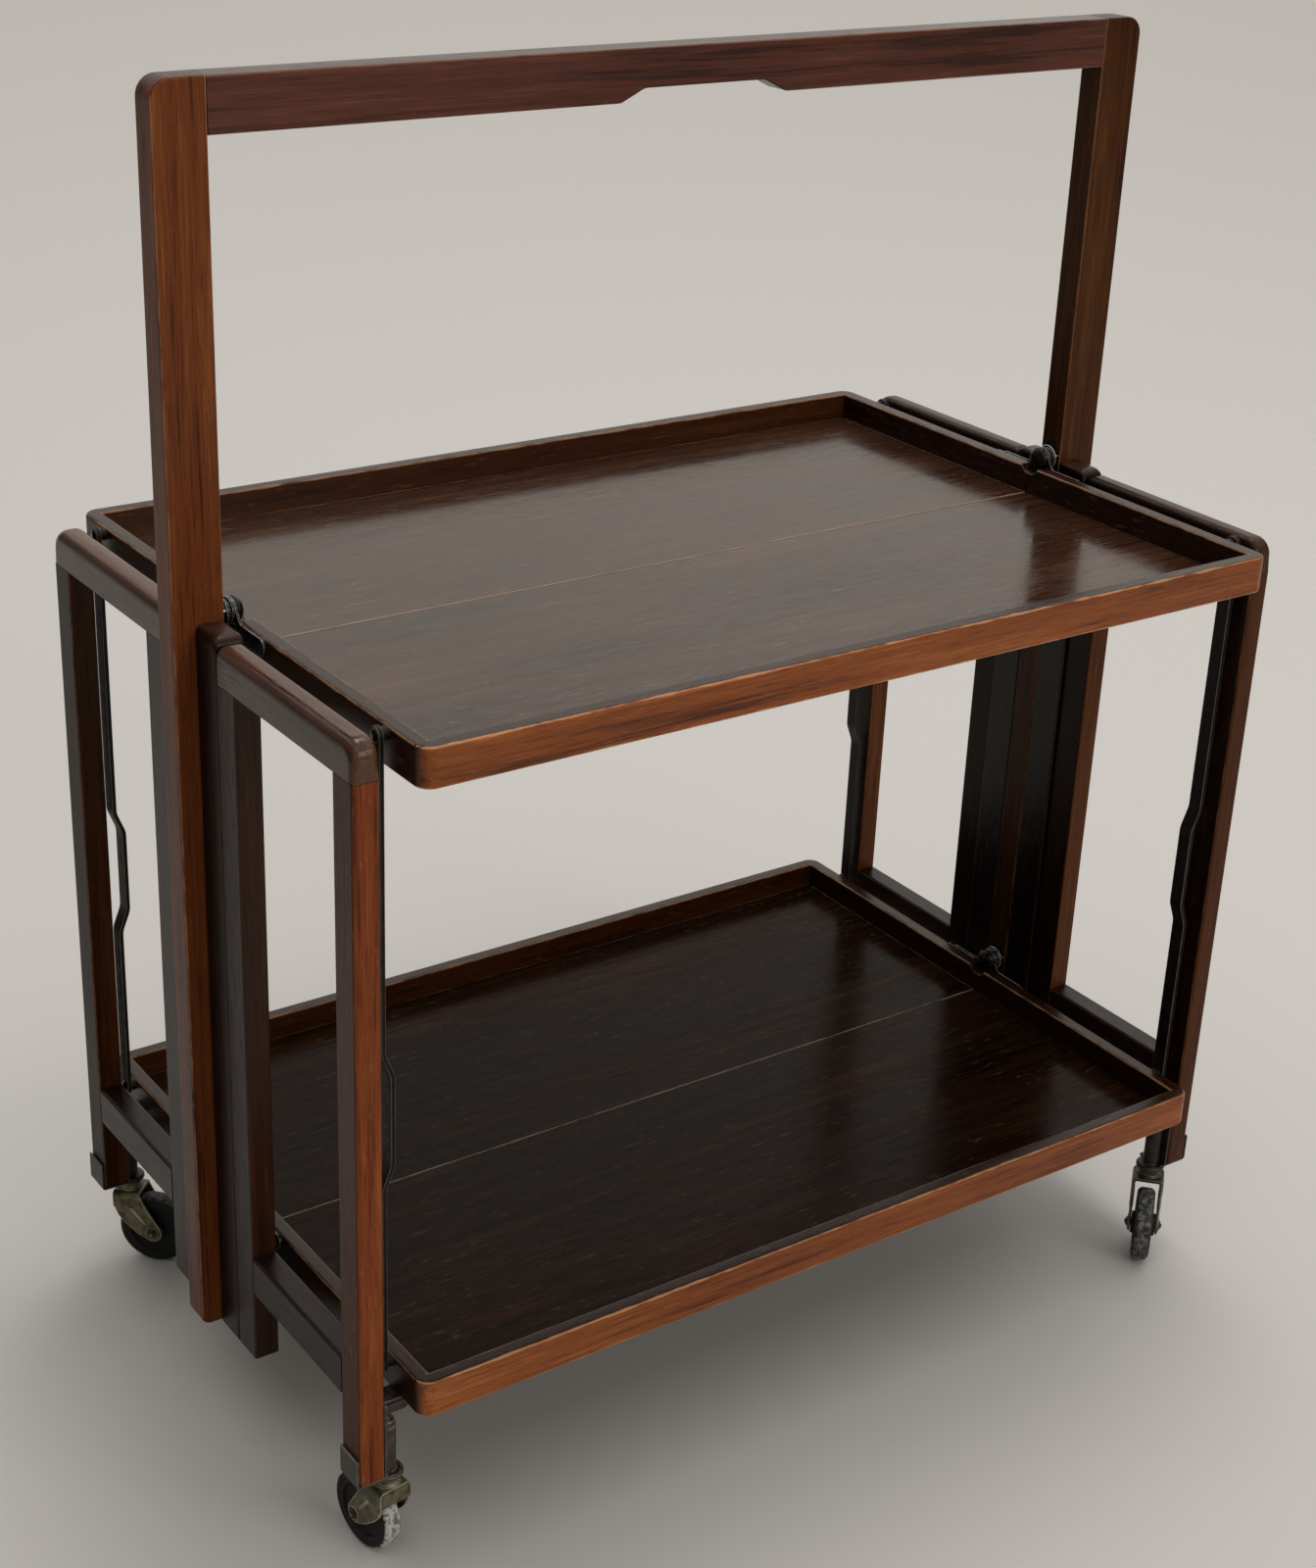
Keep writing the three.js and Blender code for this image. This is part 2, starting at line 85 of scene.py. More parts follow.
# Camera: its place, its three angles and its lens were solved from the corners
# of the trolley in the photograph.
YAW, PITCH, ROLL = math.radians(35.75), math.radians(24.48), math.radians(2.46)
CAMERA_PLACE = (-0.9285, -1.2800, 1.1012)
right = Vector((math.cos(YAW), -math.sin(YAW), 0))
ahead = Vector((math.sin(YAW) * math.cos(PITCH), math.cos(YAW) * math.cos(PITCH), -math.sin(PITCH)))
above = right.cross(ahead)
cam_right = math.cos(ROLL) * right + math.sin(ROLL) * above
cam_up = -math.sin(ROLL) * right + math.cos(ROLL) * above
camera_data = bpy.data.cameras.new("camera")
camera_data.sensor_fit = "VERTICAL"
camera_data.sensor_height = 36
camera_data.lens = 57.87
camera_data.clip_start = 0.05
camera = bpy.data.objects.new("camera", camera_data)
turn = Matrix((cam_right, cam_up, -ahead)).transposed().to_4x4()
camera.matrix_world = Matrix.Translation(CAMERA_PLACE) @ turn
scene.collection.objects.link(camera)
scene.camera = camera

# Handle frame: two tall uprights with rounded top corners and a rail between them.
# Every stick is planed oak with its arrises eased, stained dark red-brown and varnished.
MM = 0.001


def node(tree, kind, props=None, **sockets):
    """Adds a shader node; a keyword is an input's name, or iN for its number."""
    made = tree.nodes.new("ShaderNode" + kind)
    for key, value in (props or {}).items():
        setattr(made, key, value)
    for key, value in sockets.items():
        numbered = key[0] == "i" and key[1:].isdigit()
        socket = made.inputs[int(key[1:])] if numbered else made.inputs[key]
        if isinstance(value, bpy.types.NodeSocket):
            tree.links.new(value, socket)
        else:
            socket.default_value = value
    return made


def reckon(tree, operation, a, b):
    return node(tree, "Math", {"operation": operation}, i0=a, i1=b).outputs[0]


def plus(tree, a, b):
    return reckon(tree, "ADD", a, b)


def minus(tree, a, b):
    return reckon(tree, "SUBTRACT", a, b)


def times(tree, a, b):
    return reckon(tree, "MULTIPLY", a, b)


def fitted(tree, value, low, high, to_low=0.0, to_high=1.0):
    """Eases a value from one span to another."""
    smooth = {"interpolation_type": "SMOOTHSTEP"}
    return node(tree, "MapRange", smooth, i0=value, i1=low, i2=high, i3=to_low, i4=to_high).outputs[0]


def blended(tree, factor, a, b, mode="MIX"):
    colours = {"data_type": "RGBA", "blend_type": mode}
    return node(tree, "Mix", colours, i0=factor, i6=a, i7=b).outputs[2]


def stretched_noise(tree, vector, waves, detail=2.0, rough=0.5):
    """Noise with its own number of waves per metre along each axis."""
    scaled = node(tree, "VectorMath", {"operation": "MULTIPLY"}, i0=vector, i1=waves).outputs[0]
    return node(tree, "TexNoise", Vector=scaled, Scale=1.0, Detail=detail, Roughness=rough).outputs[0]


def attribute(tree, name, output):
    return node(tree, "Attribute", {"attribute_name": name}).outputs[output]


def rgb(*levels):
    """A screen colour, 0 to 255, as the linear colour that a shader takes."""
    tones = [level / 255 for level in levels]
    return tuple(t / 12.92 if t <= 0.04045 else ((t + 0.055) / 1.055) ** 2.4 for t in tones) + (1,)


def oak(name, dark, mid, pale, worn, rough=0.3, wear=1.1, gloss=0.15, deep=0.3, ripple=0.4, marks=0.1):
    """Stained oak: grain along the board, dark pores, painted light and shade by the way each face is turned,
    and the stain worn off the arrises, partly as a painted highlight.

    Wear is how far in from an arris the stain is worn, in millimetres. Deep is how dark the painted shade
    makes the faces turned away from the light. Ripple is the relief of the grain, and marks is how strong the
    scuffs are."""
    made = bpy.data.materials.new(name)
    made.use_nodes = True
    tree = made.node_tree
    tree.nodes.clear()

    # how far a point is from the nearest arris of its board
    board, half = attribute(tree, "board", "Vector"), attribute(tree, "half", "Vector")
    side = node(tree, "VectorMath", {"operation": "ABSOLUTE"}, i0=board).outputs[0]
    inside = node(tree, "VectorMath", {"operation": "SUBTRACT"}, i0=half, i1=side).outputs[0]
    length, width, thickness = node(tree, "SeparateXYZ", i0=inside).outputs
    least = reckon(tree, "MINIMUM", length, width)
    most = reckon(tree, "MAXIMUM", length, width)
    edge = reckon(tree, "MAXIMUM", least, reckon(tree, "MINIMUM", most, thickness))

    # the grain, as waves per metre along, across and through the board
    grain = attribute(tree, "grain", "Vector")
    bands = stretched_noise(tree, grain, (6, 130, 130), 4.0, 0.6)
    figure = stretched_noise(tree, grain, (3.2, 17, 17), 3.0, 0.55)
    pores = stretched_noise(tree, grain, (55, 1500, 1500))
    wear_and_glint = stretched_noise(tree, grain, (45, 210, 210), 4.0, 0.65)
    fine = stretched_noise(tree, grain, (16, 520, 520), 3.0, 0.6)
    scuffs = stretched_noise(tree, grain, (70, 330, 330), 4.0, 0.7)

    # the stain's tone, then painted light and shade: faces turned to the light keep it, the others are
    # darkened by deep
    tone = plus(tree, times(tree, bands, 0.4), times(tree, figure, 0.3))
    tone = plus(tree, tone, times(tree, fine, 0.3))
    colour = blended(tree, fitted(tree, tone, 0.38, 0.5), dark, mid)
    colour = blended(tree, fitted(tree, tone, 0.5, 0.64), colour, pale)
    shaded_face = blended(tree, 1.0, colour, (deep, deep * 0.92, deep, 1), "MULTIPLY")
    colour = blended(tree, attribute(tree, "faded", "Fac"), shaded_face, colour)
    pore = fitted(tree, pores, 0.52, 0.68)
    colour = blended(tree, times(tree, pore, 0.5), colour, dark)

    # the stain worn off the arrises in patches, on upward arrises partly a painted highlight, and the scuffs
    ragged = times(tree, minus(tree, wear_and_glint, 0.5), wear * 2.2 * MM)
    arris_wear_and_highlight = fitted(tree, plus(tree, edge, ragged), wear * 0.4 * MM, wear * MM, 0.75, 0.0)
    arris_wear_and_highlight = times(tree, arris_wear_and_highlight, attribute(tree, "rub", "Fac"))
    colour = blended(tree, arris_wear_and_highlight, colour, worn)
    colour = blended(tree, times(tree, fitted(tree, scuffs, 0.6, 0.68), marks), colour, worn)

    # the varnish
    sheen = plus(tree, rough, times(tree, minus(tree, figure, 0.5), 0.3))
    sheen = plus(tree, sheen, times(tree, plus(tree, arris_wear_and_highlight, pore), 0.12))
    height = minus(tree, times(tree, bands, 0.5), times(tree, pore, 0.5))
    bump = node(tree, "Bump", Strength=ripple, Distance=0.22 * MM, Height=height).outputs[0]
    shader = node(tree, "BsdfPrincipled", i0=colour, Roughness=sheen, Normal=bump)
    shader.inputs["Specular IOR Level"].default_value = gloss
    shader.inputs["Specular Tint"].default_value = (1, 0.91, 0.81, 1)
    node(tree, "OutputMaterial", Surface=shader.outputs[0])
    return made


def rounded(corners, arc=6):
    """Points of an anticlockwise outline with filleted corners, and each edge's side, as a number."""
    points, sides = [], []
    count = len(corners)
    for i, (x, y, r) in enumerate(corners):
        p = np.array((x, y), float)
        back = np.array(corners[i - 1][:2], float) - p
        on = np.array(corners[(i + 1) % count][:2], float) - p
        back, on = back / np.linalg.norm(back), on / np.linalg.norm(on)
        if r <= 0:
            points.append(p)
            sides.append(i)
            continue
        half_angle = math.acos(np.clip(back @ on, -1, 1)) / 2
        middle = p + (back + on) / np.linalg.norm(back + on) * r / math.sin(half_angle)
        start = p + back * r / math.tan(half_angle) - middle
        end = p + on * r / math.tan(half_angle) - middle
        sweep = math.pi - 2 * half_angle
        for k in range(arc + 1):
            t = k / arc
            swung = math.sin((1 - t) * sweep) * start + math.sin(t * sweep) * end
            points.append(middle + swung / math.sin(sweep))
            sides.append(i if k == arc else i - 1 + (k + 0.5) / arc)
    return np.array(points), np.array(sides)


def inset_outline(points, by):
    """Moves every edge of an anticlockwise outline inward by its own amount."""
    edge = np.roll(points, -1, 0) - points
    n = np.stack([-edge[:, 1], edge[:, 0]], 1) / np.linalg.norm(edge, axis=1)[:, None]
    c = (n * points).sum(1) + by
    n0, c0, by0 = np.roll(n, 1, 0), np.roll(c, 1), np.roll(by, 1)
    det = n0[:, 0] * n[:, 1] - n0[:, 1] * n[:, 0]
    flat = np.abs(det) < 1e-3
    safe = np.where(flat, 1, det)
    out = np.stack([(c0 * n[:, 1] - c * n0[:, 1]) / safe, (n0[:, 0] * c - n[:, 0] * c0) / safe], 1)
    out[flat] = (points + n * ((by + by0) / 2)[:, None])[flat]
    return out


AXES = {"x": (1, 2, 0), "y": (0, 2, 1), "z": (0, 1, 2)}


def tube_faces(rings, count):
    """Faces between rings of points, each ring joined to the next one all the way round."""
    faces = []
    for k in range(rings - 1):
        for i in range(count):
            j = (i + 1) % count
            faces.append((k * count + i, k * count + j, (k + 1) * count + j, (k + 1) * count + i))
    return faces


def end_faces(rings, count):
    """The two faces that close the first and the last ring."""
    return [tuple(range(count))[::-1], tuple(range((rings - 1) * count, rings * count))]


def slab(corners, lo, hi, axis, ease=2.0, ease_hi=None, arc=6, steps=4):
    """A board with an outline in millimetres across the axis and its arrises rounded at both faces."""
    points, sides = rounded(corners, arc)
    count = len(points)

    def spread(value):
        value = np.array(value if np.ndim(value) else [value] * len(corners), float)
        return np.interp(sides % len(corners), np.arange(len(corners) + 1), np.append(value, value[0]))

    low, high = spread(ease), spread(ease if ease_hi is None else ease_hi)
    rings = []
    for radius, face, inward in ((low, lo, 1), (high, hi, -1)):
        mean = (radius + np.roll(radius, 1)) / 2
        part = []
        for k in range(steps + 1):
            phi = k / steps * math.pi / 2
            flat = inset_outline(points, radius * (1 - math.sin(phi)))
            part.append((flat, face + inward * mean * (1 - math.cos(phi))))
        rings += part if inward > 0 else part[::-1]
    u, v, w = AXES[axis]
    verts = np.zeros((len(rings) * count, 3))
    for k, (flat, depth) in enumerate(rings):
        verts[k * count : (k + 1) * count, u] = flat[:, 0]
        verts[k * count : (k + 1) * count, v] = flat[:, 1]
        verts[k * count : (k + 1) * count, w] = depth
    return verts * MM, end_faces(len(rings), count) + tube_faces(len(rings), count)


def placed(parts, sx=1, sy=1):
    """Joins parts drawn for the right back corner and turns them to another one."""
    verts, faces, start = [], [], 0
    for v, f in parts:
        verts.append(np.asarray(v) * (sx, sy, 1))
        faces += [tuple(i + start for i in face) for face in f]
        start += len(v)
    return np.concatenate(verts), faces


def solid(name, parts, material, sx=1, sy=1):
    """Makes the object, its faces outward and its shading led by the broad flat faces."""
    verts, faces = placed(parts, sx, sy)
    mesh = bpy.data.meshes.new(name)
    mesh.from_pydata([tuple(v) for v in verts], [], faces)
    work = bmesh.new()
    work.from_mesh(mesh)
    bmesh.ops.remove_doubles(work, verts=work.verts, dist=1e-7)
    bmesh.ops.recalc_face_normals(work, faces=work.faces)
    for face in work.faces:
        face.smooth = True
    work.to_mesh(mesh)
    work.free()
    mesh.set_sharp_from_angle(angle=math.radians(50))
    mesh.materials.append(material)
    piece = bpy.data.objects.new(name, mesh)
    scene.collection.objects.link(piece)
    weigh = piece.modifiers.new("weigh", "WEIGHTED_NORMAL")
    weigh.keep_sharp = True
    baked(piece)
    return piece


def baked(piece):
    """Turns a piece with its modifiers into a plain mesh."""
    seen = piece.evaluated_get(bpy.context.evaluated_depsgraph_get())
    piece.data = bpy.data.meshes.new_from_object(seen)
    piece.modifiers.clear()
    piece.data.name = piece.name


def vectors(mesh, name, values):
    layer = mesh.attributes.new(name, "FLOAT_VECTOR", "CORNER")
    layer.data.foreach_set("vector", np.ascontiguousarray(values).ravel())


def amounts(mesh, name, values):
    layer = mesh.attributes.new(name, "FLOAT", "CORNER")
    layer.data.foreach_set("value", np.ascontiguousarray(values, float))


def corner_places(mesh):
    co = np.empty(len(mesh.vertices) * 3)
    mesh.vertices.foreach_get("co", co)
    at = np.empty(len(mesh.loops), int)
    mesh.loops.foreach_get("vertex_index", at)
    return co.reshape(-1, 3)[at]


def corner_ways(mesh):
    way = np.empty(len(mesh.loops) * 3)
    mesh.corner_normals.foreach_get("vector", way)
    return way.reshape(-1, 3)


ALONG = {"x": (0, 1, 2), "y": (1, 0, 2), "z": (2, 0, 1)}
grain_seed = np.random.default_rng(11)
LOG_SIZE = 4  # each board's grain starts at its own place in a log of this many metres


def facing(amount, start, span):
    """How far a face is turned one way, from 0 at the start to 1 a span further."""
    return np.clip((amount - start) / span, 0, 1)


def wooden(piece, along, ends=20.0, front=1.0, top=0.0, left=0.0, behind=0.6, rub=0.3, wear_and_highlight_up=0.0):
    """Writes the board's own coordinates for grain, how much painted light each face takes and how worn its
    arrises are.

    Front, top, left and behind paint light on the faces that are turned those ways, and the others take
    painted shade;
    the arris weighting grows on upward arrises, partly as a painted highlight. Ends, in millimetres,
    keeps the wear off the ends of the board."""
    mesh = piece.data
    way = corner_ways(mesh)
    # painted light and shade: how lit each face is, by how far it is turned to the front, up, left or behind
    faded = [facing(-way[:, 1], 0.35, 0.45) * front, facing(way[:, 2], 0.5, 0.4) * top,
             facing(-way[:, 0], 0.5, 0.4) * left, facing(way[:, :2].max(1), 0.4, 0.5) * behind]
    amounts(mesh, "faded", np.max(faded, 0))
    amounts(mesh, "rub", np.clip(rub + wear_and_highlight_up * way[:, 2], 0, 1))
    co = corner_places(mesh)[:, ALONG[along]]
    lo, hi = co.min(0), co.max(0)
    vectors(mesh, "board", co - (lo + hi) / 2)
    vectors(mesh, "half", np.tile((hi - lo) / 2 + (ends * MM, 0, 0), (len(co), 1)))
    vectors(mesh, "grain", co + grain_seed.uniform(0, LOG_SIZE, 3))


def fit(piece, body, slot, *nodes):
    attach(piece, body)
    if nodes:
        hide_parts(*nodes)


upright_oak = oak("upright_oak", rgb(66, 28, 13), rgb(112, 58, 27), rgb(142, 82, 42), rgb(168, 124, 96))
shaded_oak = oak("shaded_oak", rgb(38, 18, 7), rgb(72, 38, 14), rgb(98, 58, 26), rgb(150, 104, 70),
                 gloss=0.1, deep=0.2)
handle_oak = oak("handle_oak", rgb(50, 23, 17), rgb(88, 46, 34), rgb(112, 62, 46), rgb(160, 112, 84),
                 gloss=0.3)
UP_IN, UP_OUT, UP_HALF, TOP, FOOT = 332, 365, 10, 878, 75
RAIL_LOW, RAIL_END = TOP - 32, 331.7
HOLLOW_END, HOLLOW_FLAT, HOLLOW_TOP = 62, 45, RAIL_LOW + 8  # the finger hollow under the rail
EASED, BUTTED = 1.6, 0.1
for name, sx in (("upright_left", -1), ("upright_right", 1)):
    outline = [(UP_IN, FOOT, 2), (UP_OUT, FOOT, 7), (UP_OUT, TOP, 12), (UP_IN, TOP, 0), (UP_IN, RAIL_LOW, 0)]
    part = slab(outline, -UP_HALF, UP_HALF, "y", [EASED, EASED, EASED, BUTTED, EASED], arc=8)
    piece = solid(name + "_oak", [part], upright_oak if sx < 0 else shaded_oak, sx)
    wooden(piece, "z", left=0.5, rub=0.75)
    fit(piece, "frame", "frame_oak", name)
outline = [(-RAIL_END, RAIL_LOW, 0), (-HOLLOW_END, RAIL_LOW, 9), (-HOLLOW_FLAT, HOLLOW_TOP, 12),
           (HOLLOW_FLAT, HOLLOW_TOP, 12), (HOLLOW_END, RAIL_LOW, 9), (RAIL_END, RAIL_LOW, 0),
           (RAIL_END, TOP, 0), (-RAIL_END, TOP, 0)]
rail = slab(outline, -UP_HALF, UP_HALF, "y", [EASED] * 5 + [BUTTED, EASED, BUTTED])
piece = solid("handle_rail_oak", [rail], handle_oak)
wooden(piece, "x", rub=0.5)
fit(piece, "frame", "frame_oak", "handle_rail")

# Hinge strips: a full-height oak strip fixed before and behind each upright, its top rounded over.
# The gates hang on them, so these stay with the handle frame.
CORNERS = (("fl", -1, -1), ("fr", 1, -1), ("bl", -1, 1), ("br", 1, 1))
GATE_OUT = 351.5
STRIP_NEAR, STRIP_FAR, STRIP_TOP = 10.3, 36.4, 567
# Apart from its top and back-turned faces, the strip takes a deep painted shade, for the recess beside the
# upright.
strip_oak = oak("strip_oak", rgb(32, 17, 11), rgb(58, 34, 23), rgb(78, 50, 36), rgb(118, 88, 70),
                gloss=0.2, deep=0.08)
for tag, sx, sy in CORNERS:
    outline = [(STRIP_NEAR, FOOT, 0), (STRIP_FAR, FOOT, 0), (STRIP_FAR, STRIP_TOP, 7.2),
               (STRIP_NEAR, STRIP_TOP, 0)]
    part = slab(outline, UP_IN, GATE_OUT, "x", [1.2, 1.2, 4, 1.2], [1.2, 1.5, 7, 1.5], arc=10)
    piece = solid(f"hinge_strip_{tag}_oak", [part], strip_oak, sx, sy)
    wooden(piece, "z", front=0.12, top=1.0, rub=0.2, wear_and_highlight_up=0.6)
    fit(piece, "frame", "frame_oak", "hinge_strip_" + tag)

# Gates: an inner and an outer oak stile, a top rail that runs over both with a full rounded
# corner, and a low rail between them. The caster's plate is bent round the outer stile's foot.
# stile_oak is the lit copy, for the front left outer stile; the darker copy paints the shade on the other
# outer stiles and the right inner stiles.
stile_oak = oak("stile_oak", rgb(74, 29, 10), rgb(130, 63, 26), rgb(160, 88, 42), rgb(172, 122, 90),
                deep=0.22, marks=0.25)
dark_stile_oak = oak("dark_stile_oak", rgb(46, 20, 6), rgb(92, 48, 17), rgb(118, 68, 30), rgb(146, 100, 70),
                     gloss=0.1, deep=0.1)
# The left gates' rails take the lit gate_oak; the right gates' rails take a darker copy, which is painted
# shade.
gate_oak = oak("gate_oak", rgb(48, 27, 18), rgb(88, 56, 40), rgb(116, 82, 64), rgb(148, 108, 86),
               0.17, 2.0, gloss=0.36, deep=0.4)
dark_gate_oak = oak("dark_gate_oak", rgb(28, 15, 9), rgb(56, 33, 20), rgb(76, 48, 32), rgb(124, 96, 80),
                    0.24, 2.0, gloss=0.2, deep=0.2)
# A darker copy that paints the shade between the stiles, for the low rails and the left inner stiles.
inner_oak = oak("inner_oak", rgb(26, 12, 8), rgb(52, 28, 16), rgb(74, 42, 26), rgb(128, 88, 66), gloss=0.2)
GATE_IN, GATE_START, GATE_END = 334.5, 36.8, 201.5
STILE_TOP, TOP_RAIL_LOW, TOP_RAIL_HIGH = 539.7, 540, 564
INNER_STILE, OUTER_STILE, OUTER_FOOT = (36.9, 60.5), (178.5, GATE_END), 71
LOW_RAIL, LOW_RAIL_SPAN = (126.5, 154), (61, 178)


def gate_section(near, far, *fillets):
    """The section of a gate's stile or rail, with a fillet for each corner."""
    places = ((GATE_IN, near), (GATE_OUT, near), (GATE_OUT, far), (GATE_IN, far))
    return [(x, y, r) for (x, y), r in zip(places, fillets)]


for tag, sx, sy in CORNERS:
    outline = [(GATE_START, TOP_RAIL_LOW, 0), (GATE_END, TOP_RAIL_LOW, 0), (GATE_END, TOP_RAIL_HIGH, 12),
               (GATE_START, TOP_RAIL_HIGH, 6.5)]
    top = slab(outline, GATE_IN, GATE_OUT, "x", [0.1, 4, 5, 1.5], [0.1, 5, 8, 2.5], arc=10, steps=6)
    piece = solid(f"gate_{tag}_top_rail_oak", [top], gate_oak if sx < 0 else dark_gate_oak, sx, sy)
    # the pale top arris of the rail is partly wear, partly a painted highlight
    wooden(piece, "y", top=0.8, rub=-0.1, wear_and_highlight_up=0.7)
    fit(piece, "frame", "frame_oak", f"gate_{tag}_top_rail")
    low = slab(gate_section(*LOW_RAIL, 1.6, 1.6, 2.4, 2.4), *LOW_RAIL_SPAN, "y", 0.3)
    piece = solid(f"gate_{tag}_low_rail_oak", [low], inner_oak, sx, sy)
    wooden(piece, "y", rub=0.0, wear_and_highlight_up=0.3)
    fit(piece, "frame", "frame_oak", f"gate_{tag}_low_rail")
    inner = slab(gate_section(*INNER_STILE, 1.5, 1.5, 1.5, 1.5), FOOT, STILE_TOP, "z", 1.2, 0.05)
    piece = solid(f"gate_{tag}_inner_stile_oak", [inner], inner_oak if sx < 0 else dark_stile_oak, sx, sy)
    wooden(piece, "z", rub=0.1)
    fit(piece, "frame", "frame_oak", f"gate_{tag}_inner_stile")
    outer = slab(gate_section(*OUTER_STILE, 1.2, 1.2, 3, 2.4), OUTER_FOOT, STILE_TOP, "z", 1.1, 0.05)
    picked_material = stile_oak if tag == "fl" else dark_stile_oak
    piece = solid(f"gate_{tag}_outer_stile_oak", [outer], picked_material, sx, sy)
    # painted light on each outer stile's front face: less on the back left and front right gates
    wooden(piece, "z", front={"bl": 0.25, "fr": 0.6}.get(tag, 1.0), rub=0.45)
    fit(piece, "frame", "frame_oak", f"gate_{tag}_outer_stile")

# Trays: each half is a U of three oak rails round a glossy panel, open along the seam.
# The rim's top arrises are rounded and the outer corners turn in a small radius.
rim_oak = oak("rim_oak", rgb(76, 34, 12), rgb(136, 70, 28), rgb(168, 98, 46), rgb(204, 152, 110),
              wear=1.5, gloss=0.28, deep=0.05)
panel_oak = {
    "top": oak("top_panel_oak", rgb(30, 15, 8), rgb(54, 31, 18), rgb(76, 47, 30), rgb(164, 140, 118),
               0.15, 1.0, gloss=0.42, ripple=0.14, marks=0.16),
    # The low panels are painted darker than the top ones, for the shade under the top tray.
    "low": oak("low_panel_oak", rgb(13, 6, 3), rgb(32, 17, 8), rgb(54, 31, 16), rgb(160, 142, 120),
               0.2, 0.9, gloss=0.03, ripple=0.14, marks=0.1),
}
LEVELS = (("top", 563.5), ("low", 150))  # the height of each tray's rim
TRAY_X, TRAY_Y, RIM, RIM_HIGH, RIM_CORNER = 322, 224.5, 10.5, 25, 10
PIN_UP, PIN_CLEAR = 5, 9.8  # the rim's ends are cut round the pins, which are this far up


def rim_sweep(z):
    """The U rim: rings of its section along end rail, corner, front rail, corner, end rail."""
    quarter = [k / 4 * math.pi / 2 for k in range(5)]
    section = [("out", 1.5 * (1 - math.sin(a)), z - RIM_HIGH + 1.5 * (1 - math.cos(a))) for a in quarter]
    section += [("out", 2.4 * (1 - math.cos(a)), z - 2.4 + 2.4 * math.sin(a)) for a in quarter]
    section += [("in", 1.8 * (1 - math.sin(a)), z - 1.8 + 1.8 * math.cos(a)) for a in quarter]
    section += [("in", 1.2 * (1 - math.cos(a)), z - RIM_HIGH + 1.2 - 1.2 * math.sin(a)) for a in quarter]
    inner_r, arc = 0.6, 8
    end_rail = [("end", y) for y in (0.5, 0.9, 2.0, 3.5, 5.0, 6.5, 7.6, 8.3, 8.6, 12.0)]
    half_way = end_rail + [("corner", k / arc) for k in range(arc + 1)]
    stations = [(*stop, -1) for stop in half_way] + [(*stop, 1) for stop in half_way[::-1]]

    def spot(kind, value, x_sign, which, inset, z_at):
        if kind == "end":
            x = TRAY_X - inset if which == "out" else TRAY_X - RIM + inset
            return (x_sign * x, value, z_at)
        a = value * math.pi / 2
        if which == "out":
            cx, cy, r = TRAY_X - RIM_CORNER, TRAY_Y - RIM_CORNER, RIM_CORNER - inset
        else:
            cx, cy, r = TRAY_X - RIM - inner_r, TRAY_Y - RIM - inner_r, inner_r + inset
        return (x_sign * (cx + r * math.cos(a)), cy + r * math.sin(a), z_at)

    verts = []
    for kind, value, x_sign in stations:
        cut = kind == "end" and value < 8.42
        dip = math.sqrt(PIN_CLEAR**2 - value**2) - PIN_UP if cut else 0
        verts += [spot(kind, value, x_sign, which, inset, z_at - (dip if z_at > z - 12 else 0))
                  for which, inset, z_at in section]
    count = len(section)
    last = (len(stations) - 1) * count
    faces = [tuple(range(count)), tuple(range(last, last + count))[::-1]]
    for k in range(len(stations) - 1):
        for i in range(count):
            j = (i + 1) % count
            faces.append((k * count + i, (k + 1) * count + i, (k + 1) * count + j, k * count + j))
    return np.array(verts) * MM, faces


def rim_grain(piece):
    """Grain, wear and painted light and shade for the three rails of a rim: the end rails run front to back.
    """
    co = corner_places(piece.data)
    mesh = piece.data
    centre = np.array([face.center for face in mesh.polygons])
    mid = np.repeat(centre, [face.loop_total for face in mesh.polygons], axis=0)
    to_end = TRAY_X * MM - np.abs(mid[:, 0])
    end_rail = (to_end < (RIM + 0.1) * MM) & (np.abs(mid[:, 1]) < (TRAY_Y - RIM_CORNER) * MM)
    z_mid = (co[:, 2].min() + co[:, 2].max()) / 2
    sy = np.sign(co[:, 1].mean())
    in_x = np.abs(co[:, 0]) / MM - (TRAY_X - RIM_CORNER)
    in_y = np.abs(co[:, 1]) / MM - (TRAY_Y - RIM_CORNER)
    across_end = np.abs(co[:, 0]) - (TRAY_X - RIM / 2) * MM
    from_middle = np.where((in_x > 0) & (in_y > 0), np.hypot(in_x, in_y), in_y)
    across_long = (from_middle - RIM_CORNER + RIM / 2) * MM
    along = np.where(end_rail, 0, co[:, 0])
    across = np.where(end_rail, across_end, across_long)
    vectors(mesh, "board", np.stack([along, across, co[:, 2] - z_mid], 1))
    reach = np.where(end_rail, 0.3, 0.4)  # past the rail's ends, so these don't wear
    vectors(mesh, "half", np.stack([reach, 0 * reach + RIM / 2 * MM, 0 * reach + RIM_HIGH / 2 * MM], 1))
    way = corner_ways(mesh)
    # painted light on the long rails' outer faces, less on the back rim's, a little on inner and back-turned
    # faces; the rest take painted shade
    outward = facing(way[:, 1] * sy, 0.3, 0.5) * (across_long > 0.002) * (1 if sy < 0 else 0.7)
    inward = 0.15 * facing(-way[:, 1], 0.6, 0.3) * (across_long < 0)
    behind = 0.5 * facing(way[:, :2].max(1), 0.4, 0.5)
    amounts(mesh, "faded", np.max([outward, inward, behind], 0))
    amounts(mesh, "rub", np.where(end_rail | (across_long < -0.003), 0.5, 0.9))
    run = np.where(end_rail, co[:, 1] * sy, co[:, 0])
    side = np.where(end_rail, co[:, 0], co[:, 1] + 3)
    vectors(mesh, "grain", np.stack([run, side, co[:, 2]], 1) + grain_seed.uniform(0, LOG_SIZE, 3))


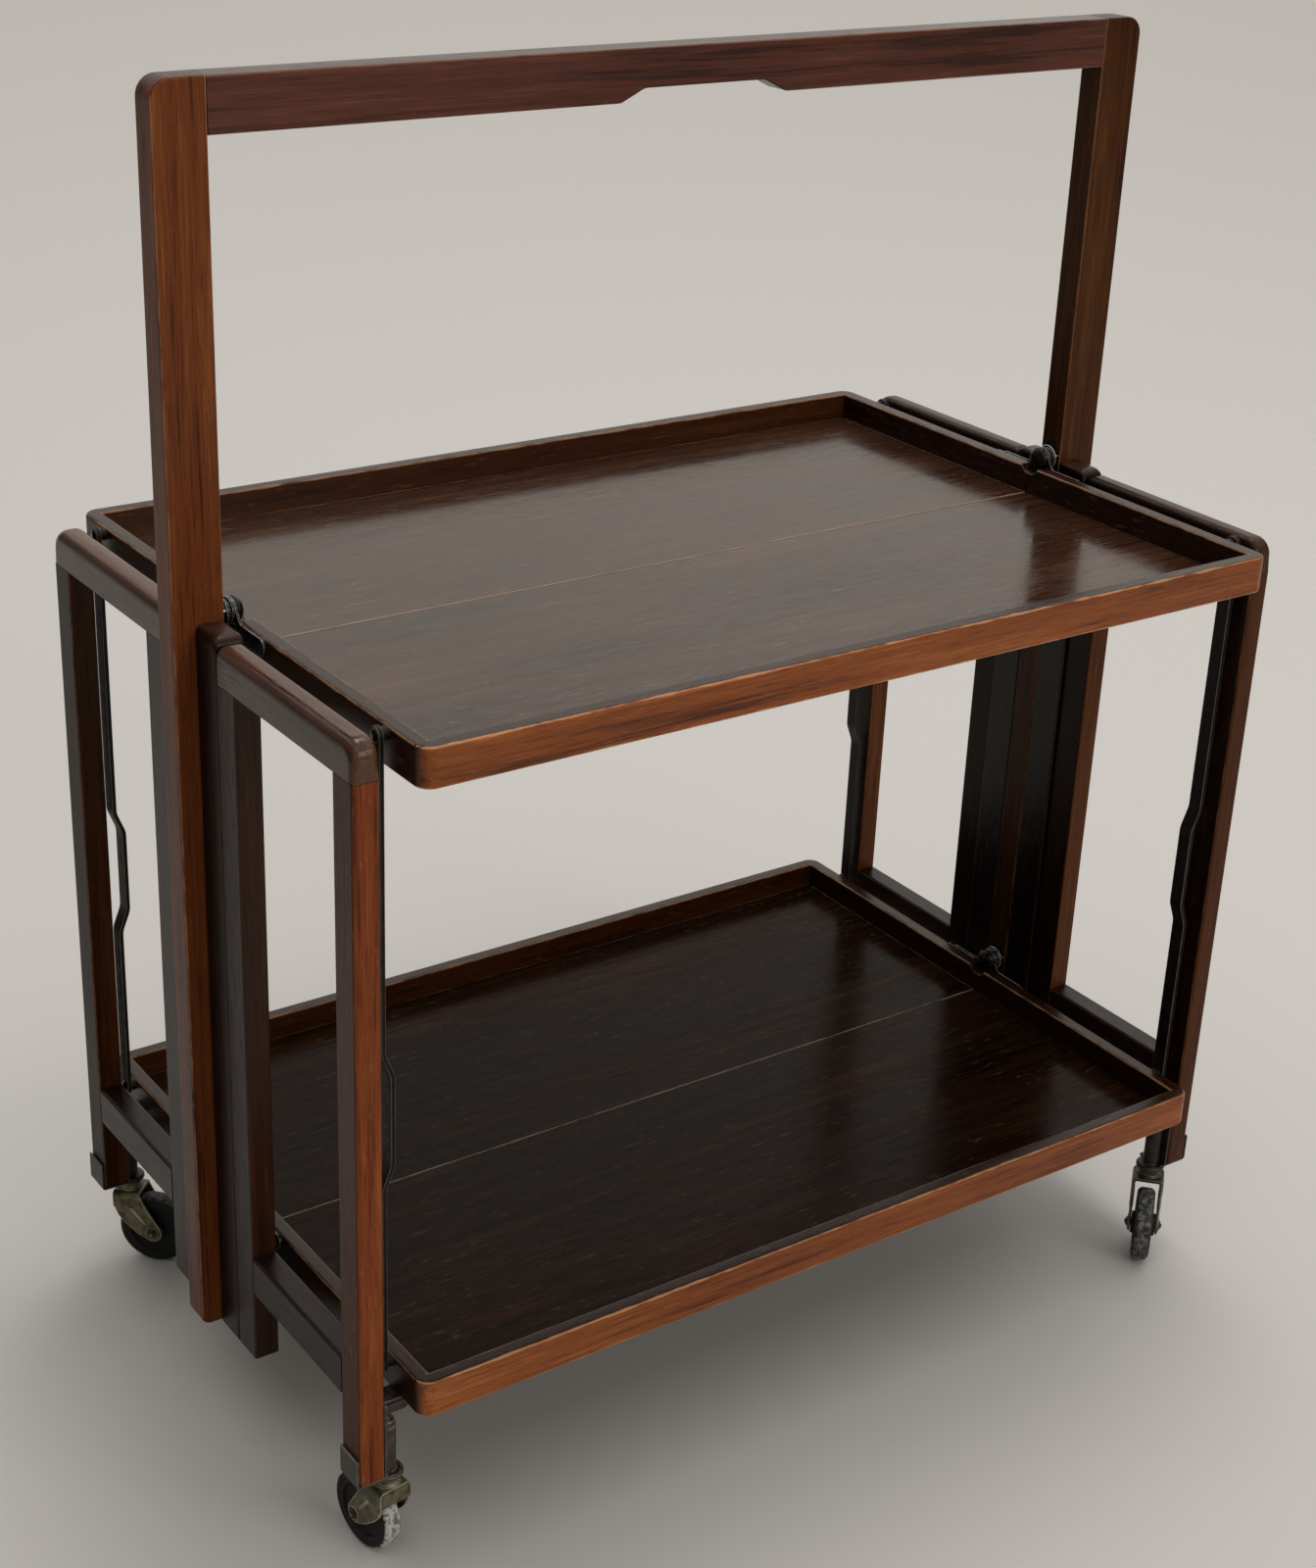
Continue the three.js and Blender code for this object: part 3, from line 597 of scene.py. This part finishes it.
PANEL_LOW, PANEL_HIGH, PANEL_X, PANEL_Y = -24, -19, TRAY_X - RIM - 0.3, TRAY_Y - RIM - 0.3
for level, z in LEVELS:
    for side, sy in (("front", -1), ("back", 1)):
        body = f"{level}_tray_{side}"
        piece = solid(f"{level}_{side}_rim_oak", [rim_sweep(z)], rim_oak, 1, sy)
        rim_grain(piece)
        fit(piece, body, "tray_oak", f"{level}_{side}_rim")
        outline = [(-PANEL_X, 0.5, 0), (PANEL_X, 0.5, 0), (PANEL_X, PANEL_Y, 2.8), (-PANEL_X, PANEL_Y, 2.8)]
        board = slab(outline, z + PANEL_LOW, z + PANEL_HIGH, "z", 0.2, [0.7, 0.3, 0.3, 0.3])
        piece = solid(f"{level}_{side}_panel_oak", [board], panel_oak[level], 1, sy)
        wooden(piece, "x", 0, front=0, top=1.0, behind=0.2, rub=0.9 if side == "back" else 0.15)
        fit(piece, body, "tray_oak", f"{level}_{side}_panel")

# Iron straps: one flat strap under each end of each tray half, its eye on the centre pivot.
# The back half's straps lap outside the front half's and stand off the rail on a packing piece.
def metal(name, dark, light, bright, rough=0.42, rub=0.75, metallic=0.85, fine=400.0, gloss=0.5):
    """Aged metal: mottled, dull in patches, and pale along its arrises, partly worn bright and partly a
    painted highlight.
    """
    made = bpy.data.materials.new(name)
    made.use_nodes = True
    tree = made.node_tree
    tree.nodes.clear()
    place = node(tree, "TexCoord").outputs["Object"]
    cloud = stretched_noise(tree, place, (fine * 0.4,) * 3, 4.0, 0.6)
    speck = stretched_noise(tree, place, (fine * 2.2,) * 3, 3.0, 0.6)
    colour = blended(tree, fitted(tree, cloud, 0.4, 0.62), dark, light)
    # painted highlight and wear: the marked arrises are turned towards the bright colour
    wear_and_glint = times(tree, attribute(tree, "arris", "Fac"), fitted(tree, cloud, 0.36, 0.6, rub * 0.6, rub))
    colour = blended(tree, wear_and_glint, colour, bright)
    dull = plus(tree, rough, times(tree, minus(tree, cloud, 0.5), 0.5))
    bump = node(tree, "Bump", Strength=0.35, Distance=0.12 * MM, Height=speck).outputs[0]
    shader = node(tree, "BsdfPrincipled", i0=colour, Roughness=dull, Normal=bump)
    shader.inputs["Metallic"].default_value = metallic
    shader.inputs["Specular IOR Level"].default_value = gloss
    node(tree, "OutputMaterial", Surface=shader.outputs[0])
    return made


def mark_arrises(piece, narrow=0.5, much=1.0, keep=None):
    """Marks the narrow faces of the rounded arrises, which are painted bright: partly wear, partly a painted
    highlight.
    """
    mesh = piece.data
    value = []
    for face in mesh.polygons:
        ring = [mesh.vertices[i].co for i in face.vertices]
        longest = max((ring[i] - ring[i - 1]).length for i in range(len(ring)))
        wear_and_glint = face.area / longest < narrow * MM and (keep is None or keep(face.center / MM))
        value += [much if wear_and_glint else 0.0] * face.loop_total
    amounts(mesh, "arris", value)


def turned(corners, axis, at=(0, 0, 0), count=40, arc=4):
    """A solid of revolution about an axis from a closed profile of (radius, place, fillet)."""
    u, v, w = AXES[axis]
    verts, rings = [], []
    for r, t in rounded(corners, arc)[0]:
        ring = []
        for k in range(count if r > 1e-6 else 1):
            a = 2 * math.pi * k / count
            p = [0.0, 0.0, 0.0]
            p[u], p[v], p[w] = r * math.cos(a), r * math.sin(a), t
            ring.append(len(verts))
            verts.append(p)
        rings.append(ring)
    faces = []
    for a, b in zip(rings, rings[1:] + rings[:1]):
        for k in range(count):
            j = k + 1
            face = dict.fromkeys((a[k % len(a)], a[j % len(a)], b[j % len(b)], b[k % len(b)]))
            if len(face) > 2:
                faces.append(tuple(face))
    return (np.array(verts) + at) * MM, faces


def arc_points(cx, cy, r, start, end, count):
    return [(cx + r * math.cos(a), cy + r * math.sin(a), 0) for a in np.linspace(start, end, count)]


# The black iron's near-white arris colour is mostly a painted glint.
iron = metal("black_iron", rgb(20, 19, 18), rgb(40, 38, 36), rgb(214, 208, 200), 0.22, 0.9, 0.65)
STRAP_THICK, EYE_BORE, EYE_R = 1.5, 3.3, 8.25
STRAP_LOW, STRAP_MID, STRAP_HIGH, STRAP_TIP, TIP_R = -16.35, -10.9, -5.45, 38.5, 5.4
STRAP_SETS = (("front", -1, 322.3), ("back", 1, 324.1))
RIM_FACE = 322.35  # where what lies against a rim's end rail starts
for level, z in LEVELS:
    pin_z = z + PIN_UP
    for side, sy, x0 in STRAP_SETS:
        for end, sx in (("left", -1), ("right", 1)):
            x1 = x0 + STRAP_THICK
            eye = turned([(EYE_BORE, x0, 0), (EYE_R, x0, 0.3), (EYE_R, x1, 0.3), (EYE_BORE, x1, 0)],
                         "x", (0, 0, pin_z))
            outline = [(5.0, -5.6, 0), (9, STRAP_LOW, 3), (STRAP_TIP, STRAP_LOW, 0),
                       *arc_points(STRAP_TIP, STRAP_MID, TIP_R, -1.37, 1.37, 9),
                       (STRAP_TIP, STRAP_HIGH, 0), (13, STRAP_HIGH, 4), (7.4, 2.6, 0)]
            parts = [eye, slab([(y, pin_z + dz, r) for y, dz, r in outline], x0, x1, "x", 0.25, steps=2)]
            if side == "back":
                block = [(15.1, -15.8, 0.4), (46.9, -15.8, 1.5), (46.9, -6.0, 1.5), (15.1, -6.0, 0.4)]
                block = [(y, pin_z + dz, r) for y, dz, r in block]
                parts.append(slab(block, RIM_FACE, x0 + 0.3, "x", 0.2, steps=2))
            piece = solid(f"strap_{level}_{side}_{end}_iron", parts, iron, sx, sy)
            mark_arrises(piece, much=0.7)
            fit(piece, f"{level}_tray_{side}", "iron", f"strap_{level}_{side}_{end}")

# Screws and rivets: slotted steel screws hold the straps and pivot plates, each head set on a point.
# Each body of the trolley carries its own set.
def slotted_head(radius, high, slot, deep, count=28):
    """A domed screw head on +Z with a slot along X, its rim meeting the metal at Z = 0."""
    work = bmesh.new()
    rings = []
    for f in (0.0, 0.35, 0.7, 0.88, 0.97, 1.0):
        ring = []
        for k in range(count if f else 1):
            a = 2 * math.pi * (k + 0.5) / count
            lift = high * (1 - f**2.4)
            ring.append(work.verts.new((f * radius * math.cos(a), f * radius * math.sin(a), lift)))
        rings.append(ring)
    base = [work.verts.new((v.co.x, v.co.y, -0.25)) for v in rings[-1]]
    for a, b in zip(rings, rings[1:]):
        for k in range(count):
            j = k + 1
            corner = list(dict.fromkeys((a[k % len(a)], b[k % count], b[j % count], a[j % len(a)])))
            work.faces.new(corner)
    for k in range(count):
        work.faces.new((rings[-1][k], base[k], base[(k + 1) % count], rings[-1][(k + 1) % count]))
    work.faces.new(base[::-1])
    if slot:
        for y in (-slot / 2, slot / 2, -slot / 2 - 0.08, slot / 2 + 0.08):
            bmesh.ops.bisect_plane(work, geom=work.verts[:] + work.edges[:] + work.faces[:],
                                   plane_co=(0, y, 0), plane_no=(0, 1, 0))
        for v in work.verts:
            if abs(v.co.y) < slot / 2 + 0.01 and v.co.z > high * 0.12:
                v.co.z = max(0.05, high - deep)
    bmesh.ops.recalc_face_normals(work, faces=work.faces)
    bmesh.ops.scale(work, vec=(MM, MM, MM), verts=work.verts)
    for face in work.faces:
        face.smooth = True
    mesh = bpy.data.meshes.new("head")
    work.to_mesh(mesh)
    work.free()
    mesh.set_sharp_from_angle(angle=math.radians(40))
    return bpy.data.objects.new("head", mesh)


def fasteners(name, head, material, places, body, slot, size=1.0):
    """Geometry Nodes: sets one head on every point, turned to its own direction and slot angle.

    A place is a point in millimetres, the way its head looks and the angle of the slot."""
    mesh = bpy.data.meshes.new(name)
    mesh.from_pydata([tuple(np.array(p) * MM) for p, _, _ in places], [], [])
    turns = []
    for _, way, spin in places:
        facing_out = Vector(way).to_track_quat("Z", "Y")
        turns += (facing_out @ Matrix.Rotation(spin, 3, "Z").to_quaternion()).to_euler()[:]
    mesh.attributes.new("turn", "FLOAT_VECTOR", "POINT").data.foreach_set("vector", turns)
    piece = bpy.data.objects.new(name, mesh)
    scene.collection.objects.link(piece)
    tree = bpy.data.node_groups.new(name, "GeometryNodeTree")
    tree.interface.new_socket("Geometry", in_out="INPUT", socket_type="NodeSocketGeometry")
    tree.interface.new_socket("Geometry", in_out="OUTPUT", socket_type="NodeSocketGeometry")
    head_size = tree.interface.new_socket("Head size", in_out="INPUT", socket_type="NodeSocketFloat")
    start, end = tree.nodes.new("NodeGroupInput"), tree.nodes.new("NodeGroupOutput")
    source = tree.nodes.new("GeometryNodeObjectInfo")
    source.inputs["Object"].default_value = head
    turn_at = tree.nodes.new("GeometryNodeInputNamedAttribute")
    turn_at.data_type = "FLOAT_VECTOR"
    turn_at.inputs["Name"].default_value = "turn"
    set_on = tree.nodes.new("GeometryNodeInstanceOnPoints")
    whole = tree.nodes.new("GeometryNodeRealizeInstances")
    painted = tree.nodes.new("GeometryNodeSetMaterial")
    painted.inputs["Material"].default_value = material
    tree.links.new(start.outputs["Geometry"], set_on.inputs["Points"])
    tree.links.new(start.outputs["Head size"], set_on.inputs["Scale"])
    tree.links.new(source.outputs["Geometry"], set_on.inputs["Instance"])
    tree.links.new(turn_at.outputs[0], set_on.inputs["Rotation"])
    tree.links.new(set_on.outputs[0], whole.inputs[0])
    tree.links.new(whole.outputs[0], painted.inputs["Geometry"])
    tree.links.new(painted.outputs[0], end.inputs[0])
    heads = piece.modifiers.new("heads", "NODES")
    heads.node_group = tree
    heads[head_size.identifier] = size
    baked(piece)
    # the heads' marked rims take a painted glint
    mark_arrises(piece, 0.45)
    fit(piece, body, slot)


rubbed_steel = metal("rubbed_steel", rgb(96, 92, 86), rgb(170, 164, 156), rgb(226, 222, 214), 0.3, 0.6, 0.5)
HALF_TURN = 3.1  # the slots stand at any angle short of this, in radians
STRAP_SCREWS, SCREW_UP = (22, 40), -5.9
spin_seed = np.random.default_rng(5)
screw_head = slotted_head(3.0, 0.68, 0.7, 0.5)
for level, z in LEVELS:
    for side, sy, x0 in STRAP_SETS:
        sunk = 0.66 if side == "front" else 0  # so that the back straps pass over them
        x1 = x0 + STRAP_THICK - sunk
        spots = [((sx * x1, sy * y, z + SCREW_UP), (sx, 0, 0), spin_seed.uniform(0, HALF_TURN))
                 for sx in (-1, 1) for y in STRAP_SCREWS]
        name = f"{level}_{side}_strap_screws"
        fasteners(name, screw_head, rubbed_steel, spots, f"{level}_tray_{side}", "iron")

# Centre pivots: a pointed iron plate on the upright, a collar, the pin and a domed head with a ring.
# They are black all over except the steel screw below the pin.
PLATE_IN, PLATE_OUT, HEAD_R, HEAD_HIGH = 330.0, 331.7, 8.45, 5.55
HEAD_BASE, HEAD_RIM = 321.4, 321.8
PIN_R, RING_R, RING_FROM, COLLAR_R, COLLAR_FROM, COLLAR_TO = 3.0, 6.95, 326.25, 8.95, 328.55, 330.2
for level, z in LEVELS:
    pin_z = z + PIN_UP
    for end, sx in (("left", -1), ("right", 1)):
        outline = [(-8.5, -20, 0), (-5.5, -23, 0), (5.5, -23, 0), (8.5, -20, 0), (8.5, 3, 2), (1.5, 13, 1),
                   (-1.5, 13, 1), (-8.5, 3, 2)]
        plate = slab(outline, PLATE_IN, PLATE_OUT, "x", [0.3] * 8, 0.05, steps=2)
        plate = (plate[0] + np.array((0, 0, pin_z * MM)), plate[1])
        dome = [(HEAD_R * math.cos(a), HEAD_BASE - HEAD_HIGH * math.sin(a), 0)
                for a in np.linspace(math.pi / 2, 0.05, 12)]
        dome[0] = (0, HEAD_BASE - HEAD_HIGH, 0)
        profile = [*dome, (HEAD_R, HEAD_RIM, 0.1), (PIN_R, HEAD_RIM, 0), (PIN_R, RING_FROM, 0),
                   (RING_R, RING_FROM, 0.4), (RING_R, COLLAR_FROM, 0.2), (COLLAR_R, COLLAR_FROM, 0.6),
                   (COLLAR_R, COLLAR_TO, 0), (0, COLLAR_TO, 0)]
        stud = turned(profile, "x", (0, 0, pin_z), 48)
        piece = solid(f"pivot_{level}_{end}_iron", [plate, stud], iron, sx)
        # the painted highlight goes only on the edges of the ring and the collar
        mark_arrises(piece, keep=lambda at: abs(at.x) > 326 and 6 < math.hypot(at.y, at.z - pin_z) < 9.1)
        fit(piece, "frame", "iron", f"pivot_{level}_{end}")
plate_spots = [((sx * (PLATE_IN + 0.05), 0, z - 12.5), (-sx, 0, 0), spin_seed.uniform(0, HALF_TURN))
               for _, z in LEVELS for sx in (-1, 1)]
fasteners("pivot_plate_screws", screw_head, rubbed_steel, plate_spots, "frame", "iron")

# Link bars: flat iron bars joggled inward between the trays, riveted to both tray halves,
# so that the lower half lifts with the upper one.
bar_iron = metal("bar_iron", rgb(18, 13, 10), rgb(30, 22, 17), rgb(128, 120, 112), 0.5, 0.9, 0.05, gloss=0.15)
BAR_LOW, BAR_HIGH, BAR_HALF, BAR_Y = 145.5, 559, 5.5, 186
BAR_IN, BAR_OUT, JOGGLE = 326.6, 329.6, 6


def link_shift(z):
    """How far the bar is set inward at a height, its four bends softened."""
    total = 0
    for k in np.linspace(-2.5, 2.5, 11):
        down = BAR_HIGH - (z + k)
        total += JOGGLE * min(max((down - 197) / 15, 0), 1, max((287 - down) / 15, 0))
    return total / 11


def bar_ring(h):
    """The bar's section at a height, its arrises cut off, narrowing to a round end."""
    past = max(BAR_LOW - h, h - BAR_HIGH, 0)
    w = math.sqrt(max(BAR_HALF**2 - past**2, 0.01))
    inner, outer, e = BAR_IN - link_shift(h), BAR_OUT - link_shift(h), min(0.4, w / 3)
    cut = e * 0.3
    section = [(inner + e, -w), (outer - e, -w), (outer - cut, cut - w), (outer, e - w), (outer, w - e),
               (outer - cut, w - cut), (outer - e, w), (inner + e, w), (inner + cut, w - cut),
               (inner, w - e), (inner, e - w), (inner + cut, cut - w)]
    return [(x, BAR_Y + y, h) for x, y in section]


rivet_head = slotted_head(4.3, 1.5, 0, 0, 24)
for tag, sx, sy in CORNERS:
    heights = [BAR_LOW - BAR_HALF * math.cos(a) for a in np.linspace(0.12, math.pi / 2, 7)]
    heights += [250, *np.linspace(268, 294, 14), *np.linspace(340, 366, 14), 450]
    heights += [BAR_HIGH + BAR_HALF * math.sin(a) for a in np.linspace(0, math.pi / 2 - 0.12, 7)]
    rings = [bar_ring(h) for h in heights]
    count = len(rings[0])
    bar = np.concatenate(rings) * MM, end_faces(len(rings), count) + tube_faces(len(rings), count)
    washer = [(0, RIM_FACE, 0), (4, RIM_FACE, 0.2), (4, 327, 0), (0, 327, 0)]
    washers = [turned(washer, "x", (0, BAR_Y, h), 24) for h in (BAR_LOW, BAR_HIGH)]
    piece = solid(f"link_bar_{tag}_iron", [bar, *washers], bar_iron, sx, sy)
    mark_arrises(piece, much=0.8)
    fit(piece, "link_bar_" + tag, "iron", "link_bar_" + tag)
    spots = [((sx * BAR_OUT, sy * BAR_Y, h), (sx, 0, 0), 0.0) for h in (BAR_LOW, BAR_HIGH)]
    fasteners(f"link_bar_{tag}_rivets", rivet_head, iron, spots, "link_bar_" + tag, "iron")

# Caster sockets: an iron plate bent round the stile's foot, a domed tube with a collar
# below it on the inner side, and an angle lug that runs in under the tray.
dull_iron = metal("dull_iron", rgb(26, 24, 23), rgb(50, 45, 42), rgb(112, 104, 96), 0.45, 0.5, 0.4)
grey_iron = metal("grey_iron", rgb(50, 43, 40), rgb(80, 70, 65), rgb(158, 148, 138), 0.45, 0.7, 0.3)
CASTER_X, CASTER_Y = 327.8, 190.7
TUBE_R, PLATE_FROM, PLATE_TO, PLATE_LOW, PLATE_FLOOR = 5.95, 178.9, 200.7, 69.15, 70.65
TONGUE_IN, WALL_IN, WALL_OUT, SIDE_IN, SIDE_OUT = 327.9, 332.35, 334.15, 351.85, 353.45
SIDE_HIGH, WALL_HIGH, LUG_FRONT, LUG_BACK = 89.9, 124.3, CASTER_Y - 7.9, CASTER_Y + 5.9
LUG_IN, LUG_OUT, LUG_LOW, LIP_IN, LIP_LOW, LIP_HIGH = 314.1, 333, 121.1, 316.1, 114.5, 122.5
for tag, sx, sy in CORNERS:
    profile = [(0, 66.1, 0), (9.8, 66.1, 0.4), (10.55, 66.9, 0.3), (10.55, 68.5, 0.5), (9.2, 69.5, 0.5),
               (TUBE_R, 70.2, 0.5), (TUBE_R, 103, 3), (5, 106.6, 2), (2.8, 109.2, 2), (0, 109.9, 0)]
    tube = turned(profile, "z", (CASTER_X, CASTER_Y, 0), 48)
    outline = [(TONGUE_IN, PLATE_LOW, 0), (SIDE_OUT, PLATE_LOW, 2.2), (SIDE_OUT, SIDE_HIGH, 0.6),
               (SIDE_IN, SIDE_HIGH, 0.3), (SIDE_IN, PLATE_FLOOR, 0.5), (WALL_OUT, PLATE_FLOOR, 0.3),
               (WALL_OUT, WALL_HIGH, 0.4), (WALL_IN, WALL_HIGH, 0.4), (WALL_IN, PLATE_FLOOR, 0),
               (TONGUE_IN, PLATE_FLOOR, 0)]
    bent = slab(outline, PLATE_FROM, PLATE_TO, "y", 0.25, steps=2)
    outline = [(LUG_IN, LUG_FRONT, 2), (LUG_OUT, LUG_FRONT, 0), (LUG_OUT, LUG_BACK, 0), (LUG_IN, LUG_BACK, 2)]
    lug = slab(outline, LUG_LOW, WALL_HIGH, "z", 0.3, steps=2)
    outline = [(LIP_IN, LIP_LOW, 2), (LUG_OUT, LIP_LOW, 0), (LUG_OUT, LIP_HIGH, 0), (LIP_IN, LIP_HIGH, 0)]
    lip = slab(outline, CASTER_Y + 4.25, LUG_BACK, "y", 0.25, steps=2)
    picked_material = grey_iron if tag == "fl" else dull_iron
    piece = solid(f"caster_socket_{tag}_iron", [tube, bent, lug, lip], picked_material, sx, sy)
    mark_arrises(piece)
    fit(piece, "frame", "iron", "caster_socket_" + tag)
plate_head = slotted_head(1.9, 0.4, 0.5, 0.3)
spots = [((sx * 332.4, sy * CASTER_Y, 116), (-sx, 0, 0), spin_seed.uniform(0, HALF_TURN))
         for _, sx, sy in CORNERS]
fasteners("caster_plate_screws", plate_head, dull_iron, spots, "frame", "iron")

# Caster forks: pressed plate folded over into two tapering legs, with a bead down each leg,
# an axle with a nut at both sides, and the swivel's cup on the crown. All brass-plated once.
brass = metal("worn_brass", rgb(72, 68, 50), rgb(116, 110, 82), rgb(184, 176, 150), 0.4, 0.8, 0.5, 260.0)
dark_brass = metal("dark_brass", rgb(34, 31, 25), rgb(64, 58, 46), rgb(138, 130, 108), 0.42, 0.7, 0.5, 260.0)
CASTER_TURN = {"fl": 98, "fr": -137, "bl": -45, "br": -120}  # the way each one trails, in degrees
TRAIL, AXLE = 19.3, 27
LEG_IN, LEG_OUT, LEG_BACK, CROWN, CUP_TOP = 9.3, 11.1, -9.4, 59.45, 65.6
ARCH_OUT, ARCH_LOW, ARCH_ROOF = 11.75, 47, 57


def caster_spot(tag, sx, sy, along, across, high):
    """A point given from the swivel, along the way that caster trails and across it."""
    a = math.radians(CASTER_TURN[tag])
    return (sx * CASTER_X + along * math.cos(a) - across * math.sin(a),
            sy * CASTER_Y + along * math.sin(a) + across * math.cos(a), high)


def at_caster(parts, tag, sx, sy):
    """Turns parts drawn with the swivel at the origin to the way that caster trails."""
    turn_by = Matrix.Rotation(math.radians(CASTER_TURN[tag]), 3, "Z")
    spot = np.array(caster_spot(tag, sx, sy, 0, 0, 0)) * MM
    return [(np.asarray(v) @ np.array(turn_by).T + spot, f) for v, f in parts]


def fork_leg(y):
    """One leg with its leaning bead and the ring round its axle, on the left or the right."""
    lo, hi = sorted((y * LEG_IN, y * LEG_OUT))
    outline = [(LEG_BACK, 47, 4), (-6.1, 39.1, 6), (-0.5, 32.3, 12), (8.9, 24.5, 8),
               *arc_points(TRAIL, AXLE, 7.1, -1.9, 0.5, 16), (15, 48, 8), (10.4, 57.6, 1),
               (LEG_BACK, 57.6, 1)]
    leg = slab(outline, lo, hi, "y", 0.3 if y > 0 else 0.9, 0.9 if y > 0 else 0.3, steps=4)
    profile = [(0, -13, 0), (0.7, -12, 0), (1.5, -7, 3), (1.5, 7, 3), (0.7, 12, 0), (0, 13, 0)]
    verts, faces = turned(profile, "z", count=22)
    lean = Matrix.Rotation(math.radians(143), 4, "Y")
    lean = Matrix.Translation(Vector((7.4, y * 10.25, 42.5)) * MM) @ lean
    bead = np.array([lean @ Vector(v) for v in verts]), faces
    profile = [(3.6, y * 10.9, 0), (5.4, y * 10.9, 0), (5.4, y * 11.75, 0.35), (3.6, y * 11.75, 0.35)]
    return [leg, bead, turned(profile, "y", (TRAIL, 0, AXLE), 28)]


hexagon = [(3.3 * math.cos(k * math.pi / 3), 3.3 * math.sin(k * math.pi / 3), 0.2) for k in range(6)]
bolt_end = turned([(0, 0.5, 0), (1.6, 0.5, 0), (1.6, 2.7, 0.5), (0, 2.7, 0)], "z", count=16)
axle_nut = solid("axle_nut", [slab(hexagon, 0, 1.7, "z", 0.3, steps=2), bolt_end], bar_iron)
scene.collection.objects.unlink(axle_nut)
for tag, sx, sy in CORNERS:
    outline = [(-ARCH_OUT, ARCH_LOW, 0), (-LEG_IN, ARCH_LOW, 0), (-LEG_IN, ARCH_ROOF, 1.6),
               (LEG_IN, ARCH_ROOF, 1.6), (LEG_IN, ARCH_LOW, 0), (ARCH_OUT, ARCH_LOW, 0),
               (ARCH_OUT, CROWN, 3.6), (-ARCH_OUT, CROWN, 3.6)]
    arch = slab(outline, LEG_BACK, 10.4, "x", 0.5, steps=3)
    axle = turned([(0, -11, 0), (2.5, -11, 0), (2.5, 11, 0), (0, 11, 0)], "y", (TRAIL, 0, AXLE), 20)
    outline = [(LEG_BACK, -10.2, 0.3), (-8.0, -10.2, 0.3), (-8.0, 10.2, 0.3), (LEG_BACK, 10.2, 0.3)]
    web = slab(outline, 47.2, 58.4, "z", 0.3, steps=2)
    profile = [(0, 58.6, 0), (8.9, 58.6, 0), (8.9, 60.2, 0.8), (7.9, 61.6, 0.8), (7.9, CUP_TOP, 0.4),
               (0, CUP_TOP, 0)]
    cup = turned(profile, "z", count=40)
    parts = at_caster([arch, *fork_leg(-1), *fork_leg(1), axle, web, cup], tag, sx, sy)
    piece = solid(f"caster_fork_{tag}_plate", parts, dark_brass if tag == "fr" else brass)
    mark_arrises(piece)
    fit(piece, "caster_fork_" + tag, "brass_plate", "caster_fork_" + tag)
    spots = []
    for y in (-1, 1):
        out = np.subtract(caster_spot(tag, sx, sy, 0, y, 0), caster_spot(tag, sx, sy, 0, 0, 0))
        spots.append((caster_spot(tag, sx, sy, TRAIL, y * 11.2, AXLE), out, 0.2))
    fasteners(f"caster_fork_{tag}_nuts", axle_nut, bar_iron, spots, "caster_fork_" + tag, "brass_plate")

# Caster wheels: a hard rubber tyre with moulded rings round a disc and a plain hub.
# The sides stay black; the front left tread is worn palest, the others are dusty grey.
tyre = bpy.data.materials.new("hard_rubber")
tyre.use_nodes = True
tree = tyre.node_tree
tree.nodes.clear()
place = node(tree, "TexCoord").outputs["Object"]
dust = stretched_noise(tree, place, (260,) * 3, 4.0, 0.65)
grime = stretched_noise(tree, place, (900,) * 3, 2.0, 0.6)
colour = blended(tree, fitted(tree, dust, 0.4, 0.75), rgb(15, 15, 16), rgb(34, 33, 33))
dusty = times(tree, attribute(tree, "tread", "Fac"), fitted(tree, dust, 0.42, 0.62, 0.12, 1.0))
colour = blended(tree, dusty, colour, rgb(196, 194, 190))
bump = node(tree, "Bump", Strength=0.5, Distance=0.2 * MM, Height=grime).outputs[0]
dull = fitted(tree, dust, 0.3, 0.7, 0.5, 0.8)
shader = node(tree, "BsdfPrincipled", i0=colour, Roughness=dull, Normal=bump)
shader.inputs["Specular IOR Level"].default_value = 0.3
node(tree, "OutputMaterial", Surface=shader.outputs[0])
HUB, DISC, TYRE, WHEEL_R, TREAD_FROM = 8.85, 4.75, 6.45, 26.95, 24.9
for tag, sx, sy in CORNERS:
    half = [(3.05, HUB, 0.3), (8.35, HUB, 0.6), (8.35, DISC, 0.6), (11.5, 4.5, 0), (17.6, DISC, 0.8),
            (18.1, 6.4, 0.7), (20.6, TYRE, 0.3), (21.0, 6.1, 0.2), (21.6, 6.1, 0.2), (22.0, TYRE, 0.3),
            (24.6, TYRE, 1.6), (WHEEL_R, 4.2, 2.4)]
    profile = [(r, -y, f) for r, y, f in half] + [(r, y, f) for r, y, f in half[::-1]]
    wheel = turned(profile, "y", (TRAIL, 0, AXLE), 72)
    piece = solid(f"caster_wheel_{tag}_rubber", at_caster([wheel], tag, sx, sy), tyre)
    turn_by = math.radians(CASTER_TURN[tag])
    off = corner_places(piece.data) - np.array(caster_spot(tag, sx, sy, TRAIL, 0, AXLE)) * MM
    sideways = np.abs(off @ np.array((-math.sin(turn_by), math.cos(turn_by), 0)))
    radius = np.sqrt(np.maximum((off**2).sum(1) - sideways**2, 0))
    worn = 2.4 if tag == "fl" else 0.3
    amounts(piece.data, "tread", facing(radius / MM, TREAD_FROM, 1.6) * worn)
    fit(piece, "caster_wheel_" + tag, "rubber", "caster_wheel_" + tag)
